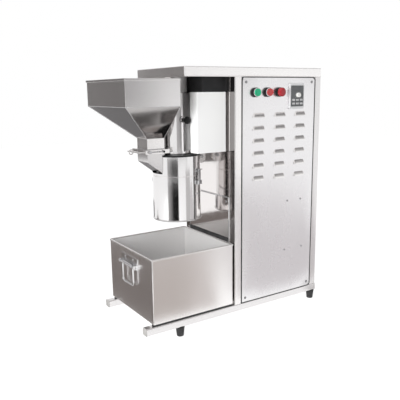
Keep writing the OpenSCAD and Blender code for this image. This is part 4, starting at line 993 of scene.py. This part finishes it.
low, high, middle = drawn("gate_frame")
duct = box_path(low.x + FLANGE, low.y + FLANGE, high.x - FLANGE, high.y - FLANGE)
bead_along("duct_weld", [(x, y, high.z) for x, y in duct], WELD, plated_steel, ripple=0.16,
           body="machine", slot="steel")
print("beads on the rim, the groove, the bay, the funnel and the duct")

# %% [markdown]
# ### Dial
# The speed knob turns over a printed scale: eleven strokes on three quarters of a circle. A tree sets
# copies of one stroke round a centre.

# %% Dial tree
ring_tree, given = new_tree("ring_of_copies", Copy="Object", Count="Int", Radius="Float", Start="Float",
                            Sweep="Float", Centre="Vector", Finish="Material")
index = add(ring_tree, "GeometryNodeInputIndex")
step = reckon(ring_tree, "DIVIDE", given["Sweep"], reckon(ring_tree, "SUBTRACT", given["Count"], 1.0))
angle = reckon(ring_tree, "ADD", given["Start"], reckon(ring_tree, "MULTIPLY", index, step))
across = reckon(ring_tree, "MULTIPLY", reckon(ring_tree, "SINE", angle), given["Radius"])
upward = reckon(ring_tree, "MULTIPLY", reckon(ring_tree, "COSINE", angle), given["Radius"])
offset = add(ring_tree, "ShaderNodeCombineXYZ", X=across, Z=upward)
points = add(ring_tree, "GeometryNodePoints", Count=given["Count"])
placed = add(ring_tree, "GeometryNodeSetPosition", Geometry=points, Position=offset, Offset=given["Centre"])
turned_to = add(ring_tree, "FunctionNodeAxisAngleToRotation", Axis=(0, 1, 0), Angle=angle)
strokes = copies_on(ring_tree, placed, given["Copy"], Rotation=turned_to)
close_tree(ring_tree, strokes, given["Finish"])
print("dial tree with", len(ring_tree.nodes), "nodes")

# %% Dial strokes
STROKES, SCALE_R, SCALE_TURN = 11, 12.5, math.radians(135)
STROKE = (0.8, 0.5, 2.4)
face_y = drawn("control_face")[0].y
knob_middle = drawn("speed_knob")[2]
work = bmesh.new()
bmesh.ops.create_cube(work, size=1.0, matrix=Matrix.Diagonal((*(side * MM for side in STROKE), 1)))
stroke = eased(from_bmesh("stroke", work), 0.15, 2)
scale = grown("dial_scale", ring_tree, bpy.data.meshes.new("dial_scale"), Copy=stroke, Count=STROKES,
              Radius=SCALE_R * MM, Start=-SCALE_TURN, Sweep=2 * SCALE_TURN,
              Centre=spot(knob_middle.x, face_y, knob_middle.z), Finish=knob_white)
settle(scale, knob_white, body="machine", slot="white_plastic")
for spare in (pan_head, rivet_head, washer, hood, stroke):
    bpy.data.objects.remove(spare)
print("dial strokes", STROKES)

# %% [markdown]
# ## Studio
# The photograph has a white ground with hardly any shadow. Floor and backdrop show their full white
# only to camera, mirror and glass rays, so they look white without pouring light on the machine,
# and the floor's diffuse part still takes the soft shadow under the feet.

# %% Floor and backdrop
def seen_rays(tree):
    """1 where a ray comes from the camera, a reflection or a refraction."""
    path = tree.nodes.new("ShaderNodeLightPath").outputs
    either = reckon(tree, "ADD", path["Is Camera Ray"], path["Is Glossy Ray"])
    every = reckon(tree, "ADD", either, path["Is Transmission Ray"])
    every.node.use_clamp = True
    return every


FLOOR_SIZE = 16.0
FLOOR_GLOW = 0.84
SKY_LIGHT = 0.55
WHITE = (1.0, 1.0, 1.0, 1.0)
work = bmesh.new()
bmesh.ops.create_grid(work, x_segments=2, y_segments=2, size=FLOOR_SIZE / 2)
floor = from_bmesh("floor", work)
paper, tree, shader = blank("floor_paper", Roughness=0.9, Base_Color=(0.30, 0.30, 0.30, 1.0),
                            Emission_Color=WHITE)
fill(tree, shader, Emission_Strength=spread(tree, seen_rays(tree), 0.0, FLOOR_GLOW, 0.0, 1.0))
floor.data.materials.append(paper)
floor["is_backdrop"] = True

world = bpy.data.worlds.new("studio_air")
scene.world = world
world.use_nodes = True
air = world.node_tree
fill(air, air.nodes["Background"], Color=WHITE,
     Strength=spread(air, seen_rays(air), SKY_LIGHT, 1.0, 0.0, 1.0))
scene.view_settings.view_transform = "Standard"
print("floor", FLOOR_SIZE, "m")

# %% [markdown]
# Polished metal shows its surroundings more than itself. As in any studio for metal, grey and
# black cards stand outside the picture and only reflections see them. They give the left faces
# their darker tone, the tubes their upright bands, and the louvres their dark hoods. A ceiling and a
# card on the right keep the top and the far side from melting into the white ground.

# %% Cards and lamps
card_paint, tree, shader = blank("card_paint", Roughness=1.0, Base_Color=(0.0, 0.0, 0.0, 1.0),
                                 Specular_IOR_Level=0.0, Emission_Strength=1.0)
tones = add(tree, "ShaderNodeAttribute", ("attribute_name", "tone"), give="Color")
fill(tree, shader, Emission_Color=tones)


def card(name, middle, across, upward, tone, far=None):
    """A card from its middle and its two half sides, in metres. Its tone can run to another one."""
    m, u, v = Vector(middle), Vector(across), Vector(upward)
    mesh = bpy.data.meshes.new(name)
    mesh.from_pydata([m - u - v, m + u - v, m + u + v, m - u + v], [], [(0, 1, 2, 3)])
    layer = mesh.attributes.new("tone", "FLOAT_COLOR", "POINT")
    for point, colour in zip(layer.data, (tone, far or tone, far or tone, tone)):
        point.color = (*colour, 1.0)
    board = made(name, mesh)
    board.data.materials.append(card_paint)
    board.visible_camera = board.visible_diffuse = board.visible_shadow = False
    board.visible_transmission = board.visible_volume_scatter = False
    board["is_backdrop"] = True


def lamp(name, place, target, size, watts):
    light = bpy.data.lights.new(name, "AREA")
    light.shape = "SQUARE"
    light.size = size
    light.energy = watts
    holder = bpy.data.objects.new(name, light)
    aim = (Vector(target) - Vector(place)).to_track_quat("-Z", "Y")
    holder.matrix_world = Matrix.Translation(place) @ aim.to_matrix().to_4x4()
    holder.visible_glossy = False
    scene.collection.objects.link(holder)


def grey(value):
    return (value, value * 0.98, value * 0.98)


BACK_UP, FRONT_UP, BAND_UP, RING_UP = ((0.0, 0.0, half) for half in (0.75, 0.41, 0.263, 0.066))
AWAY = (0.55, -0.84, 0.0)
CARDS = (
    ("left_card", (-1.32, 1.53, 1.15), (0.46, 0.30, 0.0), BACK_UP, (0.17, 0.16, 0.157)),
    ("left_ground", (-1.02, 0.675, 0.004), (0.58, 0.0, 0.0), (0.0, 0.925, 0.0), (0.19, 0.168, 0.16)),
    ("back_ground", (0.25, 1.60, 0.004), (0.75, 0.0, 0.0), (0.0, 0.95, 0.0), (0.26, 0.255, 0.26)),
    ("right_ground", (1.50, 1.05, 0.003), (1.0, 0.0, 0.0), (0.0, 1.35, 0.0), grey(0.62), grey(0.50)),
    ("ceiling", (0.0, 0.0, 3.4), (7.0, 0.0, 0.0), (0.0, 7.0, 0.0), grey(0.78)),
    ("bin_ground", (0.14, -1.19, 0.004), (0.30, 0.0, 0.0), AWAY, (0.505, 0.457, 0.436)),
    ("bin_edge", (0.51, -1.19, 0.004), (0.07, 0.0, 0.0), AWAY, (0.62, 0.575, 0.56)),
    ("panel_ground", (1.345, -1.53, 0.004), (0.44, 0.0, 0.0), (0.766, -1.172, 0.0), (0.68, 0.65, 0.66)),
    ("band_left", (-1.178, -0.575, 0.16), (0.126, -0.219, 0.0), BAND_UP, grey(0.50), grey(0.05)),
    ("band_card", (-0.841, -0.944, 0.16), (0.211, -0.150, 0.0), BAND_UP, grey(0.020), grey(0.006)),
    ("ring_left", (-1.178, -0.575, 0.50), (0.126, -0.219, 0.0), RING_UP, grey(0.48), grey(0.09)),
    ("ring_card", (-0.841, -0.944, 0.50), (0.211, -0.150, 0.0), RING_UP, grey(0.08), grey(0.10)),
    ("soft_card", (0.28, -1.08, 0.30), (0.21, 0.08, 0.0), (0.0, 0.0, 0.19), grey(0.62)),
    ("front_card", (-0.471, -1.909, 0.89), (0.46, -0.074, 0.0), FRONT_UP, grey(0.54), grey(0.36)),
    ("front_edge", (0.278, -1.918, 0.89), (0.289, 0.065, 0.0), FRONT_UP, grey(0.36), grey(0.36)),
    ("upper_card", (1.83, -1.77, 1.87), (0.0, 0.0, 0.55), (1.0, 0.65, 0.0), grey(0.60), grey(0.06)),
)
LAMPS = (
    ("key_lamp", (-0.4, -2.9, 2.2), (0.0, 0.0, 0.5), 1.6, 10.0),
    ("left_lamp", (-2.45, -1.2, 1.0), (-0.2, 0.0, 0.7), 1.6, 86.0),
)
for row in CARDS:
    card(*row)
for row in LAMPS:
    lamp(*row)
print("cards", len(CARDS), "lamps", len(LAMPS))

# %% Sizes and the end
low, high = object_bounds()
